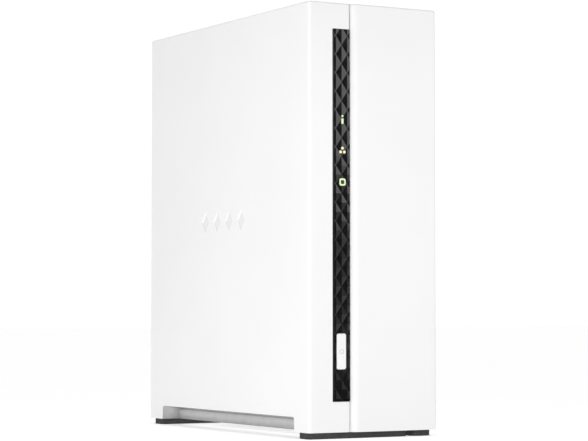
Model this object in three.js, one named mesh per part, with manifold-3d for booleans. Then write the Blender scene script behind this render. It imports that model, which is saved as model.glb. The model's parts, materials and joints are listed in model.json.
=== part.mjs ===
// One-bay desktop network attached storage unit: a slim upright white housing that holds a single
// 3.5-inch drive. Millimetres, +Z up, front towards -Y, origin at the centre of the footprint on the floor.
import * as THREE from "three";
import { mergeVertices } from "three/addons/utils/BufferGeometryUtils.js";
import Module from "manifold-3d";

const wasm = await Module();
wasm.setup();

// ---------------------------------------------------------------- driving dimensions
const WIDTH = 64.7;
const DEPTH = 156.2;
const HEIGHT = 188.6;
const FOOT = 2.8; // height of the feet under the housing
const WALL = 2;
const FIT = 0.3; // clearance between pieces that slide or drop in
const TOUCH = 0.05; // clearance between faces that bear on each other
const CORNER = 1.5; // radius of the housing's vertical edges
const CORNER_STEPS = 10; // facets of each vertical edge

const LEFT = -WIDTH / 2;
const RIGHT = WIDTH / 2;
const FRONT = -DEPTH / 2;
const BACK = DEPTH / 2;

const PANEL_STEP = 1.5; // the cover's front panel stands this far proud of the main shell's front
const SHELL_FRONT = FRONT + PANEL_STEP;
const PANEL_EDGE = 3.5; // radius of the front panel's left edge, which rolls back to the main shell
const SEAM = -11.5; // X of the joint between main shell and cover, on the front and the top
const TURNED_EDGE = { thick: 1.8, back: SHELL_FRONT + WALL + 0.6 }; // the cover's left edge, turned back
const SEAM_GROOVE = { width: 0.7, depth: 0.45 }; // the joint shows on the front as a shadow line
const BASE_SEAM = 20.4; // X of the same joint on the underside

// Finger and air pockets along the bottom edge of both sides.
const POCKET = { depth: 9, top: 9.2, front: -63.7, back: 63.8, radius: 1.2, wall: 1.8 };
// Shadow groove along the top of each pocket's inner wall.
const POCKET_GROOVE = { height: 1.9, depth: 1.1 };

// Window for the dark strip in the front of the main shell.
const STRIP = { left: -20.45, bottom: 15.9, top: 177.35, centre: -15.85, right: SEAM - 0.2 };
const SYMBOL_X = -15.2; // the lit symbols stand a little right of the strip's middle
// Relief of the strip: rhombic pyramids in staggered columns, beside a plain margin on the left.
const DIAMOND = { halfWidth: 2.87, halfHeight: 4.03, height: 0.35, peak: SHELL_FRONT + 0.35 };
const PATTERN = { left: -19.05, centre: -16.15, apexZ: 166.3 };
// Air slots in the base, in two rows.
const VENT = { x: [-14, 3], front: -50, pitch: 13, count: 8, length: 12, width: 3.2 };
// Generic mark on the left wall: a row of sunk rhombi.
const EMBLEM = { count: 4, centre: 2, z: 96.3, pitch: 11.6, halfWidth: 3.4, halfHeight: 4.6, depth: 0.5 };
const BUTTON = { width: 4.7, bottom: 29.8, top: 45.3, face: SHELL_FRONT + 0.15, radius: 1 };
const STATUS_Z = 138;
const NETWORK_Z = 124.7;
const DISK_Z = 110.75;

// Rear panel and what shows through it.
const REAR = { front: 75.4, back: 77.4 };
const FAN = { size: 60, depth: 15, z: 149, bore: 28.2, hub: 14, holes: 25 };
const GRILLE = { pitch: 7.8, hex: 3.5, rings: 3 };
const LOCK_SLOT = { x: 15.5, z: 30, width: 3, height: 7 };

// Mainboard, standing against the left wall, with its components on the +X face.
const BOARD = { left: -26, right: -24.4, front: -58.4, back: 74.6, bottom: 13.5, top: 172 };
const BOARD_STEP = { back: 57, z: 117 }; // the board is shorter above this height, to clear the fan
const FACE = BOARD.right + TOUCH; // components stand on the board's +X face
const ETHERNET = { z: 48, width: 16, height: 13.5, depth: 19.6 };
const USB_Z = [70, 90];
const USB = { width: 13.1, height: 6.4, depth: 17.5 };
const DC = { z: 26, width: 9, height: 11, depth: 14, hole: 3.2, pin: 1 };
const DC_X = BOARD.right + DC.width / 2 + 1;
const RESET_Z = 106;
const RESET_X = BOARD.right + 2.6;
const SCREW_SINK = 0.8; // depth of the round recess under each rear screw's head

// The 3.5-inch drive stands on its short end, its lid towards the cover.
const DRIVE = { left: -2.9, thick: 26.1, front: -58, width: 101.6, bottom: 22, length: 147 };
const DRIVE_HOLE = { up: 28.5, pitch: 101.6, in: 6.35 };
const BRACKET = { plate: 1, left: -4.4, flange: 15 };
const POST = { radius: 2.6, y: [-62.2, 50.2], z: [40, 148] };

// ---------------------------------------------------------------- materials
function material(name, color, roughness, metalness = 0) {
  return new THREE.MeshStandardMaterial({ name, color, roughness, metalness });
}
const WHITE_PLASTIC = material("white_plastic", 0xf3f3f2, 0.45);
const BLACK_PLASTIC = material("black_plastic", 0x17181a, 0.35);
const GREY_RUBBER = material("grey_rubber", 0x38383a, 0.8);
const GREEN_LENS = material("green_lens", 0xb8f07a, 0.3);
const AMBER_LENS = material("amber_lens", 0xffd27a, 0.3);
const BOARD_GREEN = material("board_green", 0x1f5a36, 0.5);
const CHIP_BLACK = material("chip_black", 0x202225, 0.6);
const STEEL = material("steel", 0xb9bcc0, 0.35, 1);
const ALUMINIUM = material("aluminium", 0xc9ccd0, 0.4, 1);
const FAN_BLACK = material("fan_black", 0x1c1d1f, 0.5);
const CABLE_WHITE = material("cable_white", 0xe4e4e2, 0.5);

// ---------------------------------------------------------------- solids
// A closed three.js geometry as a solid for joining and cutting.
function solid(geometry) {
  const bare = geometry.clone();
  bare.deleteAttribute("normal");
  bare.deleteAttribute("uv");
  const merged = mergeVertices(bare.index ? bare.toNonIndexed() : bare, 1e-4);
  return new wasm.Manifold(
    new wasm.Mesh({
      numProp: 3,
      vertProperties: merged.attributes.position.array,
      triVerts: new Uint32Array(merged.index.array),
    }),
  );
}

function geometryOf(body) {
  const mesh = body.getMesh();
  const geometry = new THREE.BufferGeometry();
  geometry.setAttribute("position", new THREE.BufferAttribute(new Float32Array(mesh.vertProperties), 3));
  geometry.setIndex(new THREE.BufferAttribute(new Uint32Array(mesh.triVerts), 1));
  geometry.computeVertexNormals();
  return geometry;
}

const join = (...bodies) => bodies.reduce((a, b) => a.add(b));
const cut = (body, ...tools) => tools.reduce((a, b) => a.subtract(b), body);

function box(x, y, z) {
  const geometry = new THREE.BoxGeometry(x[1] - x[0], y[1] - y[0], z[1] - z[0]);
  geometry.translate((x[0] + x[1]) / 2, (y[0] + y[1]) / 2, (z[0] + z[1]) / 2);
  return solid(geometry);
}

// Turns a geometry drawn in (u, v, w) so that w runs along the named axis.
function alongAxis(geometry, axis) {
  const [x, y, z] = [new THREE.Vector3(1, 0, 0), new THREE.Vector3(0, 1, 0), new THREE.Vector3(0, 0, 1)];
  const basis = { x: [y, z, x], y: [x, z, y.clone().negate()], z: [x, y, z] }[axis];
  return geometry.applyMatrix4(new THREE.Matrix4().makeBasis(...basis));
}

// A flat outline swept from one coordinate to another along an axis. Its (u, v) are (x, y) for z,
// (y, z) for x and (x, z) for y.
function prism(axis, outline, from, to, curveSegments = 6) {
  const depth = to - from;
  const geometry = new THREE.ExtrudeGeometry(outline, { depth, bevelEnabled: false, curveSegments });
  geometry.translate(0, 0, axis === "y" ? -to : from);
  return solid(alongAxis(geometry, axis));
}

// A round bar along an axis through (u, v), in the same (u, v) as prism.
function rod(axis, u, v, radius, from, to, sides = 16, endRadius = radius) {
  const flip = axis === "y";
  const [top, bottom] = flip ? [radius, endRadius] : [endRadius, radius];
  const geometry = new THREE.CylinderGeometry(top, bottom, to - from, sides);
  geometry.rotateX(Math.PI / 2);
  geometry.translate(u, v, ((from + to) / 2) * (flip ? -1 : 1));
  return solid(alongAxis(geometry, axis));
}

// A rectangle with rounded corners; the corner at its lowest u and v may have a radius of its own.
function roundRect(u, v, radius, start = radius) {
  const shape = new THREE.Shape();
  shape.moveTo(u[0] + start, v[0]);
  shape.lineTo(u[1] - radius, v[0]);
  shape.absarc(u[1] - radius, v[0] + radius, radius, -Math.PI / 2, 0);
  shape.lineTo(u[1], v[1] - radius);
  shape.absarc(u[1] - radius, v[1] - radius, radius, 0, Math.PI / 2);
  shape.lineTo(u[0] + radius, v[1]);
  shape.absarc(u[0] + radius, v[1] - radius, radius, Math.PI / 2, Math.PI);
  shape.lineTo(u[0], v[0] + start);
  shape.absarc(u[0] + start, v[0] + start, start, Math.PI, 1.5 * Math.PI);
  return shape;
}

function polygon(points) {
  return new THREE.Shape(points.map(([u, v]) => new THREE.Vector2(u, v)));
}

function circle(u, v, radius) {
  const shape = new THREE.Shape();
  shape.absarc(u, v, radius, 0, 2 * Math.PI);
  return shape;
}

// ---------------------------------------------------------------- scene graph
const nas = new THREE.Group();

function addPart(name, body, look, parent = nas) {
  const mesh = new THREE.Mesh(geometryOf(body), look);
  mesh.name = name;
  parent.add(mesh);
  return mesh;
}

// ---------------------------------------------------------------- housing
// The pocket on one side, grown by a margin on its closed faces.
function pocketSpace(side, margin) {
  const inner = RIGHT - POCKET.depth - margin;
  const x = side > 0 ? [inner, RIGHT + 1] : [LEFT - 1, -inner];
  const y = [POCKET.front - margin, POCKET.back + margin];
  const radius = POCKET.radius + margin;
  return prism("x", roundRect(y, [FOOT - 2 * radius, POCKET.top + margin], radius), ...x, 4);
}

// The shadow groove of one pocket.
function pocketGroove(side) {
  const wall = side * (RIGHT - POCKET.depth);
  const floor = wall - side * POCKET_GROOVE.depth;
  const x = [Math.min(wall + side, floor), Math.max(wall + side, floor)];
  const y = [POCKET.front + POCKET.radius, POCKET.back - POCKET.radius];
  return box(x, y, [POCKET.top - POCKET_GROOVE.height, POCKET.top]);
}

// A screw boss standing on the left wall, with a blind pilot hole in its free end.
function wallPost(y, z, radius, end) {
  const pilot = 1.1;
  const deep = 8;
  return cut(
    rod("x", y, z, radius + 0.5, LEFT + WALL / 2, end, 12, radius),
    rod("x", y, z, pilot, Math.max(end - deep, LEFT + WALL), end + 1, 8),
  );
}

const BOARD_POSTS = [
  [-54, 22],
  [-54, 164],
  [66, 35.8],
  [46, 164],
];
const BOARD_POST_RADIUS = 2.6;

// Rear screws, as (x, z): through the rear panel into the cover, and into the main shell.
const COVER_SCREWS = [
  [27.2, 22],
  [27.2, 182.9],
];
const PANEL_SCREWS = [
  [-17, 9.2],
  [-17, 182.9],
];

// A boss for a rear screw, from the panel's inner face forwards, rooted in the wall beside it.
function rearBoss(x, z) {
  return box(x, [REAR.front - 10, REAR.front - FIT], z);
}

function rearPilot(x, z) {
  return rod("y", x, z, 1.7, REAR.front - 9, REAR.front + 1, 8);
}

function mainShell() {
  const edge = SEAM - 0.2;
  const outline = roundRect([LEFT, edge + 3 * CORNER], [SHELL_FRONT, BACK], CORNER);
  const rightPart = box([edge, RIGHT], [FRONT, BACK + 1], [FOOT - 1, HEIGHT + 1]);
  const outer = prism("z", outline, FOOT, HEIGHT, CORNER_STEPS).subtract(rightPart);
  const base = box([edge - 1, BASE_SEAM - FIT], [FRONT + WALL + FIT, BACK], [FOOT, FOOT + WALL]);
  // The base plate leaves room for the cover's turned-back left edge.
  const edgeRoom = box([edge, SEAM + TURNED_EDGE.thick + FIT], [FRONT, TURNED_EDGE.back + FIT], [0, FOOT + WALL + 1]);
  const cavity = box([LEFT + WALL, RIGHT], [SHELL_FRONT + WALL, BACK + 1], [FOOT + WALL, HEIGHT - WALL]);
  const frontWall = [SHELL_FRONT - 1, SHELL_FRONT + WALL + 1];
  const window = box([STRIP.left, edge + 1], frontWall, [STRIP.bottom, STRIP.top]);
  const seamX = [SEAM - SEAM_GROOVE.width, SEAM + 1];
  const groove = box(seamX, [SHELL_FRONT - 1, SHELL_FRONT + SEAM_GROOVE.depth], [FOOT - 1, HEIGHT + 1]);
  let shell = cut(outer, cavity.subtract(pocketSpace(-1, POCKET.wall)), window, groove).add(base.subtract(edgeRoom));
  shell = cut(shell, pocketSpace(-1, 0), pocketGroove(-1));

  // Rails that guide the cover: a tongue under its top, and one over its bottom flange.
  const along = [SHELL_FRONT + 5, REAR.front - 2];
  const underTop = HEIGHT - WALL;
  const overBase = FOOT + WALL;
  shell = join(
    shell,
    box([edge - 1.5, edge + 4], along, [underTop - 1.6, underTop - FIT]),
    box([edge - 1.5, edge], along, [underTop - 1, underTop + 0.5]),
    box([BASE_SEAM - 3, BASE_SEAM + 0.8], along, [overBase + FIT, overBase + 1.5]),
    box([BASE_SEAM - 3, BASE_SEAM - 1.5], along, [overBase - 1, overBase + 1]),
  );

  // Stop ribs that the rear panel rests against, and ribs that stiffen the left wall.
  const stopY = [REAR.front - 2, REAR.front - FIT];
  shell = join(
    shell,
    box([LEFT + 1, LEFT + WALL + 1.6], stopY, [12, 20]),
    box([LEFT + 1, LEFT + WALL + 1.6], stopY, [84, 96]),
    box([LEFT + 1, LEFT + 8], stopY, [HEIGHT - WALL - 3, HEIGHT - 1]),
  );
  for (const z of [58, 126]) {
    shell = shell.add(box([LEFT + 1, LEFT + WALL + 1.2], [SHELL_FRONT + 1, 56], [z, z + 1.4]));
  }

  for (const [y, z] of BOARD_POSTS) shell = shell.add(wallPost(y, z, BOARD_POST_RADIUS, BOARD.left - TOUCH));
  for (const y of POST.y) {
    for (const z of POST.z) shell = shell.add(wallPost(y, z, POST.radius, BRACKET.left - TOUCH));
  }

  const [low, high] = PANEL_SCREWS;
  shell = join(
    shell,
    rearBoss([low[0] - 3, low[0] + 3], [FOOT + 1, low[1] + 3]),
    rearBoss([high[0] - 3, high[0] + 3], [high[1] - 3, HEIGHT - 1]),
  );
  for (const [x, z] of PANEL_SCREWS) shell = shell.subtract(rearPilot(x, z));

  // Four sunk rhombi in a row on the outside of the left wall.
  for (let i = 0; i < EMBLEM.count; i++) {
    const y = EMBLEM.centre + (i - (EMBLEM.count - 1) / 2) * EMBLEM.pitch;
    const rhombus = polygon([
      [y - EMBLEM.halfWidth, EMBLEM.z],
      [y, EMBLEM.z - EMBLEM.halfHeight],
      [y + EMBLEM.halfWidth, EMBLEM.z],
      [y, EMBLEM.z + EMBLEM.halfHeight],
    ]);
    shell = shell.subtract(prism("x", rhombus, LEFT - 1, LEFT + EMBLEM.depth));
  }

  // Air slots in the base.
  for (const x of VENT.x) {
    for (let i = 0; i < VENT.count; i++) {
      const y = VENT.front + i * VENT.pitch;
      const slot = roundRect([x, x + VENT.length], [y, y + VENT.width], VENT.width / 2 - 0.1);
      shell = shell.subtract(prism("z", slot, FOOT - 1, FOOT + WALL + 1, 2));
    }
  }
  return shell;
}

function sideCover() {
  const corner = box([SEAM, SEAM + 2 * CORNER], [BACK - 2 * CORNER, BACK], [FOOT, HEIGHT]);
  const outline = roundRect([SEAM, RIGHT], [FRONT, BACK], CORNER, PANEL_EDGE);
  const outer = prism("z", outline, FOOT, HEIGHT, CORNER_STEPS).add(corner);
  const inside = box([SEAM - 1, RIGHT - WALL], [FRONT + WALL, BACK + 1], [FOOT + WALL, HEIGHT - WALL]);
  const baseRoom = box([SEAM - 1, BASE_SEAM], [FRONT + WALL, BACK + 1], [FOOT - 1, FOOT + WALL + 1]);
  // The front panel's left edge turns back beside the dark strip, and above and below it.
  const turned = box([SEAM - 2, SEAM + TURNED_EDGE.thick], [FRONT, TURNED_EDGE.back], [0, HEIGHT]);
  let cover = cut(outer, cut(join(inside, baseRoom), pocketSpace(1, POCKET.wall), turned));
  cover = cut(cover, pocketSpace(1, 0), pocketGroove(1));

  // Bosses that take the two rear screws, open along Y so that the cover slides off forwards.
  for (const [x, z] of COVER_SCREWS) {
    cover = cover.add(rearBoss([x - 3, RIGHT - 1], [z - 3, z + 3])).subtract(rearPilot(x, z));
  }
  // Stiffening ribs on the side wall.
  for (const z of [64, 120]) {
    cover = cover.add(box([RIGHT - WALL - 1.2, RIGHT - 1], [FRONT + 1, 54], [z, z + 1.4]));
  }
  return cover;
}

// Honeycomb of hexagonal holes over the fan: the centres, ring by ring.
function honeycomb(pitch, rings) {
  const centres = [];
  for (let q = -rings; q <= rings; q++) {
    for (let r = -rings; r <= rings; r++) {
      if (Math.abs(q + r) > rings) continue;
      centres.push([pitch * (q + r / 2), pitch * r * Math.sqrt(0.75)]);
    }
  }
  return centres;
}

function rearPanel() {
  const y = [REAR.front, REAR.back];
  const inset = WALL + FIT;
  const outline = roundRect([LEFT + inset, RIGHT - inset], [FOOT + inset, HEIGHT - inset], 0.8);
  // The cover's pocket reaches inside on the right, and the main shell's on the left.
  const pocketInner = RIGHT - POCKET.depth - POCKET.wall - 2 * FIT;
  let panel = prism("y", outline, ...y, 2);
  for (const [cx, cz] of honeycomb(GRILLE.pitch, GRILLE.rings)) {
    panel = panel.subtract(rod("y", cx, FAN.z + cz, GRILLE.hex, y[0] - 1, y[1] + 1, 6));
  }
  const hole = (x, z, radius, sides) => rod("y", x, z, radius, y[0] - 1, y[1] + 1, sides);
  const sunk = (x, z, radius) => rod("y", x, z, radius, y[1] - SCREW_SINK, y[1] + 1, 12);
  const window = (x, z, width, height, radius) => {
    const shape = roundRect([x, x + width], [z - height / 2, z + height / 2], radius);
    return prism("y", shape, y[0] - 1, y[1] + 1, 2);
  };
  const left = FACE - FIT;
  panel = cut(
    panel,
    window(left, ETHERNET.z, ETHERNET.height + 2 * FIT, ETHERNET.width + 2 * FIT, 0.4),
    ...USB_Z.map((z) => window(left, z, USB.height + 2 * FIT, USB.width + 2 * FIT, 0.4)),
    window(LOCK_SLOT.x, LOCK_SLOT.z, LOCK_SLOT.width, LOCK_SLOT.height, 0.6),
    hole(DC_X, DC.z, 4.6, 20),
    hole(RESET_X, RESET_Z, 1, 10),
  );
  for (const [x, z] of [...COVER_SCREWS, ...PANEL_SCREWS]) {
    panel = cut(panel, hole(x, z, 1.7, 8), sunk(x, z, 3.2));
  }
  for (const sx of [-1, 1]) {
    for (const sz of [-1, 1]) {
      const [x, z] = [sx * FAN.holes, FAN.z + sz * FAN.holes];
      panel = cut(panel, hole(x, z, 2.2, 10), sunk(x, z, 3.5));
    }
  }
  // A shallow tray round the honeycomb.
  const tray = rod("y", 0, FAN.z, FAN.bore + 1.6, y[1] - 0.5, y[1] + 1, 40);
  // Notches at the bottom corners clear the walls of the side pockets.
  const notches = join(
    box([LEFT, -pocketInner], [y[0] - 1, y[1] + 1], [FOOT, FOOT + WALL]),
    box([pocketInner, RIGHT], [y[0] - 1, y[1] + 1], [FOOT, FOOT + WALL]),
  );
  return cut(panel, tray, notches);
}

function foot(x, y) {
  return prism("z", roundRect(x, y, 2), 0, FOOT - TOUCH, 4);
}

addPart("main_shell", mainShell(), WHITE_PLASTIC);
addPart("side_cover", sideCover(), WHITE_PLASTIC);
addPart("rear_panel", rearPanel(), WHITE_PLASTIC);
const FOOT_Y = { front: [-74.6, -65], rear: [66.2, 75.8] };
for (const [end, y] of Object.entries(FOOT_Y)) {
  addPart(`${end}_foot_main`, foot([LEFT + 1.25, BASE_SEAM - 1.4], y), GREY_RUBBER);
  addPart(`${end}_foot_cover`, foot([BASE_SEAM + 1.4, RIGHT - 0.95], y), GREY_RUBBER);
}

// ---------------------------------------------------------------- dark front strip, button and lenses
// Outline of one indicator symbol at height z, grown by a margin.
function symbolShapes(kind, z, grow) {
  const x = SYMBOL_X;
  if (kind === "status") {
    return [
      circle(x, z + 1.4, 0.55 + grow),
      roundRect([x - 0.55 - grow, x + 0.55 + grow], [z - 2 - grow, z + 0.45 + grow], 0.3),
    ];
  }
  if (kind === "network") {
    return [
      [0, 0.76],
      [-0.94, -0.89],
      [0.94, -0.89],
    ].map(([dx, dz]) => circle(x + dx, z + dz, 0.7 + grow));
  }
  return [roundRect([x - 1.6 - grow, x + 1.6 + grow], [z - 1.6 - grow, z + 1.6 + grow], 0.9)];
}

const SYMBOLS = [
  ["status", STATUS_Z],
  ["network", NETWORK_Z],
  ["disk", DISK_Z],
];

const LED_BOARD = { front: -67.6, back: -66.2, x: [-20.6, -10.2], z: [27, 147] };
const LED_POSTS = [56, 96];
const STRIP_BACK = SHELL_FRONT + WALL + 1.6;
const STRIP_FLANGE = SHELL_FRONT + WALL + TOUCH;

function frontStrip() {
  const { halfWidth, halfHeight, height, peak } = DIAMOND;
  const valley = peak + height;
  const x = [STRIP.left + 0.15, STRIP.right];
  const z = [STRIP.bottom + 0.15, STRIP.top - 0.15];
  const plate = box(x, [valley + 0.1, STRIP_BACK], z);
  const wide = [STRIP.left - 2, STRIP.right];
  const flange = box(wide, [STRIP_FLANGE, STRIP_BACK], [STRIP.bottom - 2, STRIP.top + 2]);

  // Each pyramid runs on below the valleys, so that its neighbours meet it in clean creases.
  const sunk = 0.15;
  const grow = (height + sunk) / height;
  const pyramid = new THREE.ConeGeometry(1, 1, 4).rotateX(Math.PI / 2);
  pyramid.scale(halfWidth * grow, halfHeight * grow, height + sunk);
  let relief = plate;
  const columns = Math.ceil((x[1] - x[0]) / halfWidth / 2) + 1;
  for (let column = -columns; column <= columns; column++) {
    const stagger = column % 2 ? halfHeight : 0;
    for (let top = PATTERN.apexZ + 12 + stagger; top > STRIP.bottom - 6; top -= 2 * halfHeight) {
      const one = alongAxis(pyramid.clone(), "y");
      one.translate(PATTERN.centre + column * halfWidth, peak + (height + sunk) / 2, top);
      relief = relief.add(solid(one));
    }
  }
  relief = relief.intersect(join(plate, box([PATTERN.left, x[1]], [peak - 1, STRIP_BACK], z)));

  let strip = relief.add(flange);
  for (const [kind, z0] of SYMBOLS) {
    for (const shape of symbolShapes(kind, z0, 0.15)) {
      strip = strip.subtract(prism("y", shape, peak - 1, STRIP_BACK + 1, 4));
    }
  }
  // Two posts carry the indicator board.
  for (const z of LED_POSTS) {
    strip = strip.add(rod("y", STRIP.centre, z, 2, STRIP_BACK - 0.5, LED_BOARD.front - TOUCH, 12));
    strip = strip.add(rod("y", STRIP.centre, z, 0.9, LED_BOARD.front - 1, LED_BOARD.back + 0.4, 10));
  }
  const half = BUTTON.width / 2 + 0.2;
  const hole = roundRect(
    [STRIP.centre - half, STRIP.centre + half],
    [BUTTON.bottom - 0.2, BUTTON.top + 0.2],
    BUTTON.radius,
  );
  return strip.subtract(prism("y", hole, peak - 1, STRIP_BACK + 1, 3));
}

function lens(kind, z) {
  const flangeBack = STRIP_BACK + 1.2;
  const flangeX = [SYMBOL_X - 3, SYMBOL_X + 3];
  const back = box(flangeX, [STRIP_BACK + TOUCH, flangeBack], [z - 3.4, z + 3.4]);
  const pipeX = [SYMBOL_X - 1.4, SYMBOL_X + 1.4];
  const pipe = box(pipeX, [flangeBack - 0.1, LED_BOARD.front - 1.4], [z - 1.4, z + 1.4]);
  let body = back.add(pipe);
  for (const shape of symbolShapes(kind, z, 0)) {
    body = body.add(prism("y", shape, DIAMOND.peak + 0.05, STRIP_BACK + 0.5, 4));
  }
  if (kind === "disk") {
    const hollow = roundRect([SYMBOL_X - 0.65, SYMBOL_X + 0.65], [z - 0.65, z + 0.65], 0.35);
    body = body.subtract(prism("y", hollow, DIAMOND.peak - 1, DIAMOND.peak + 1.2, 2));
  }
  return body;
}

const SWITCH = { size: 6, depth: 2.6 };
const SWITCH_FRONT = LED_BOARD.front - SWITCH.depth;
const BUTTON_Z = (BUTTON.bottom + BUTTON.top) / 2;

function powerButton() {
  const half = BUTTON.width / 2;
  const cap = prism(
    "y",
    roundRect([STRIP.centre - half, STRIP.centre + half], [BUTTON.bottom, BUTTON.top], BUTTON.radius),
    BUTTON.face,
    STRIP_BACK + 1,
    4,
  );
  const collar = box(
    [STRIP.centre - half - 0.9, STRIP.centre + half + 0.9],
    [STRIP_BACK + TOUCH, STRIP_BACK + 0.8],
    [BUTTON.bottom - 1, BUTTON.top + 1],
  );
  return cap.add(collar);
}

addPart("front_strip", frontStrip(), BLACK_PLASTIC);
addPart("power_button", powerButton(), WHITE_PLASTIC);
addPart("status_lens", lens("status", STATUS_Z), GREEN_LENS);
addPart("network_lens", lens("network", NETWORK_Z), AMBER_LENS);
addPart("disk_lens", lens("disk", DISK_Z), GREEN_LENS);

// ---------------------------------------------------------------- indicator board behind the strip
function ledBoard() {
  const board = box(LED_BOARD.x, [LED_BOARD.front, LED_BOARD.back], LED_BOARD.z);
  const ledX = [SYMBOL_X - 1, SYMBOL_X + 1];
  const ledY = [LED_BOARD.front - 1.1, LED_BOARD.front + 0.2];
  const leds = SYMBOLS.map(([, z]) => box(ledX, ledY, [z - 0.8, z + 0.8]));
  const through = [LED_BOARD.front - 1, LED_BOARD.back + 1];
  const holes = LED_POSTS.map((z) => rod("y", STRIP.centre, z, 1.2, ...through, 10));
  return cut(join(board, ...leds), ...holes);
}

const PLUNGER = { radius: 1.6, bore: 1.85 };

function powerSwitch() {
  const half = SWITCH.size / 2;
  const x = [STRIP.centre - half, STRIP.centre + half];
  const body = box(x, [SWITCH_FRONT, LED_BOARD.front - TOUCH], [BUTTON_Z - half, BUTTON_Z + half]);
  const bore = rod("y", STRIP.centre, BUTTON_Z, PLUNGER.bore, SWITCH_FRONT - 1, SWITCH_FRONT + 1.6, 12);
  return body.subtract(bore);
}

function powerSwitchPlunger() {
  return rod("y", STRIP.centre, BUTTON_Z, PLUNGER.radius, STRIP_BACK + 1 + TOUCH, SWITCH_FRONT + 0.8, 12);
}

addPart("indicator_board", ledBoard(), BOARD_GREEN);
addPart("power_switch", powerSwitch(), CHIP_BLACK);
addPart("power_switch_plunger", powerSwitchPlunger(), BLACK_PLASTIC);

// ---------------------------------------------------------------- mainboard
function mainboard() {
  const outline = polygon([
    [BOARD.front, BOARD.bottom],
    [BOARD.back, BOARD.bottom],
    [BOARD.back, BOARD_STEP.z],
    [BOARD_STEP.back, BOARD_STEP.z],
    [BOARD_STEP.back, BOARD.top],
    [BOARD.front, BOARD.top],
  ]);
  let board = prism("x", outline, BOARD.left, BOARD.right);
  const hole = (y, z, radius) => rod("x", y, z, radius, BOARD.left - 1, BOARD.right + 1, 10);
  return cut(
    board,
    ...BOARD_POSTS.map(([y, z]) => hole(y, z, 1.8)),
    ...POST.z.map((z) => hole(POST.y[1], z, POST.radius + 0.9)),
  );
}

function onBoard(height, y, z) {
  return box([FACE, FACE + height], y, z);
}

function heatSink() {
  const fins = 8;
  const size = 32;
  const base = 2;
  const pitch = size / (fins - 0.5);
  const left = FACE + 1.5 + TOUCH;
  const origin = { y: -8, z: 84 };
  let sink = box([left, left + base], [origin.y, origin.y + size], [origin.z, origin.z + size]);
  for (let i = 0; i < fins; i++) {
    const y = origin.y + i * pitch;
    sink = sink.add(box([left + base / 2, left + 9], [y, y + pitch / 2], [origin.z, origin.z + size]));
  }
  return sink;
}

function usbPort(z) {
  const y = [BOARD.back - USB.depth, REAR.back - 0.3];
  const x = [FACE, FACE + USB.height];
  const halfZ = USB.width / 2;
  const shell = cut(
    box(x, y, [z - halfZ, z + halfZ]),
    box([x[0] + 0.5, x[1] - 0.5], [y[0] + 4, y[1] + 1], [z - halfZ + 0.5, z + halfZ - 0.5]),
  );
  const tongue = box([x[0] + 3.1, x[0] + 4.9], [y[0] + 2, y[1] - 1.2], [z - halfZ + 1.2, z + halfZ - 1.2]);
  return shell.add(tongue);
}

function ethernetJack() {
  const { z, width, height, depth } = ETHERNET;
  const y = [BOARD.back - depth, REAR.back - 0.3];
  const x = [FACE, FACE + height];
  const mouth = [x[0] + 2.6, x[0] + 9.6];
  return cut(
    box(x, y, [z - width / 2, z + width / 2]),
    box(mouth, [y[0] + 6, y[1] + 1], [z - 5.9, z + 5.9]),
    box([mouth[1] - 0.5, mouth[1] + 1.4], [y[0] + 6, y[1] + 1], [z - 3.2, z + 3.2]),
    box([mouth[1] + 1, mouth[1] + 2.6], [y[0] + 6, y[1] + 1], [z - 1.7, z + 1.7]),
  );
}

function dcJack() {
  const x = [FACE, FACE + DC.width];
  const y = [BOARD.back - DC.depth, REAR.front - FIT];
  const body = box([x[0], DC_X + DC.width / 2], y, [DC.z - DC.height / 2, DC.z + DC.height / 2]);
  const collar = rod("y", DC_X, DC.z, 4.2, y[1] - 1, REAR.back - 0.2, 20);
  const hole = rod("y", DC_X, DC.z, DC.hole, y[1] - 9, REAR.back + 1, 20);
  const pin = rod("y", DC_X, DC.z, DC.pin, y[1] - 10, REAR.back - 1.4, 10);
  return body.add(collar).subtract(hole).add(pin);
}

const RESET_FRONT = 68;

function resetSwitch() {
  return cut(
    box([FACE, FACE + 4.6], [RESET_FRONT, RESET_FRONT + 4], [RESET_Z - 3.4, RESET_Z + 3.4]),
    rod("y", RESET_X, RESET_Z, 1.35, RESET_FRONT + 2, RESET_FRONT + 5, 12),
  );
}

addPart("mainboard", mainboard(), BOARD_GREEN);
addPart("processor", onBoard(1.5, [0.5, 15.5], [92.5, 107.5]), CHIP_BLACK);
addPart("heat_sink", heatSink(), ALUMINIUM);
addPart("memory_chip", onBoard(1.1, [-24, -14], [92, 104]), CHIP_BLACK);
addPart("power_inductor", onBoard(4.2, [40, 50], [22, 32]), CHIP_BLACK);
addPart("network_transformer", onBoard(5.6, [34, 44], [40, 56]), CHIP_BLACK);
addPart("usb_port_upper", usbPort(USB_Z[1]), STEEL);
addPart("usb_port_lower", usbPort(USB_Z[0]), STEEL);
addPart("ethernet_jack", ethernetJack(), STEEL);
addPart("dc_jack", dcJack(), CHIP_BLACK);
addPart("reset_switch", resetSwitch(), CHIP_BLACK);
const resetPlunger = rod("y", RESET_X, RESET_Z, 1.05, RESET_FRONT + 2.7, REAR.front - 0.6, 12);
addPart("reset_plunger", resetPlunger, BLACK_PLASTIC);

// Clock battery: a coin cell held flat against the board by its holder.
const CELL = { y: -34, z: 40, radius: 10 };

function batteryHolder() {
  const half = CELL.radius + 1.5;
  const y = [CELL.y - half, CELL.y + half];
  const z = [CELL.z - half, CELL.z + half];
  const thumbSlot = box([FACE + 1, FACE + 7], [CELL.y - 4, CELL.y + 4], [z[0] - 1, CELL.z - 6]);
  const seat = rod("x", CELL.y, CELL.z, CELL.radius + 0.3, FACE + 1, FACE + 6, 24);
  return cut(onBoard(4.4, y, z), seat, thumbSlot);
}

addPart("battery_holder", batteryHolder(), CHIP_BLACK);
addPart("coin_cell", rod("x", CELL.y, CELL.z, CELL.radius, FACE + 1 + TOUCH, FACE + 4.2, 24), STEEL);

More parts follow.
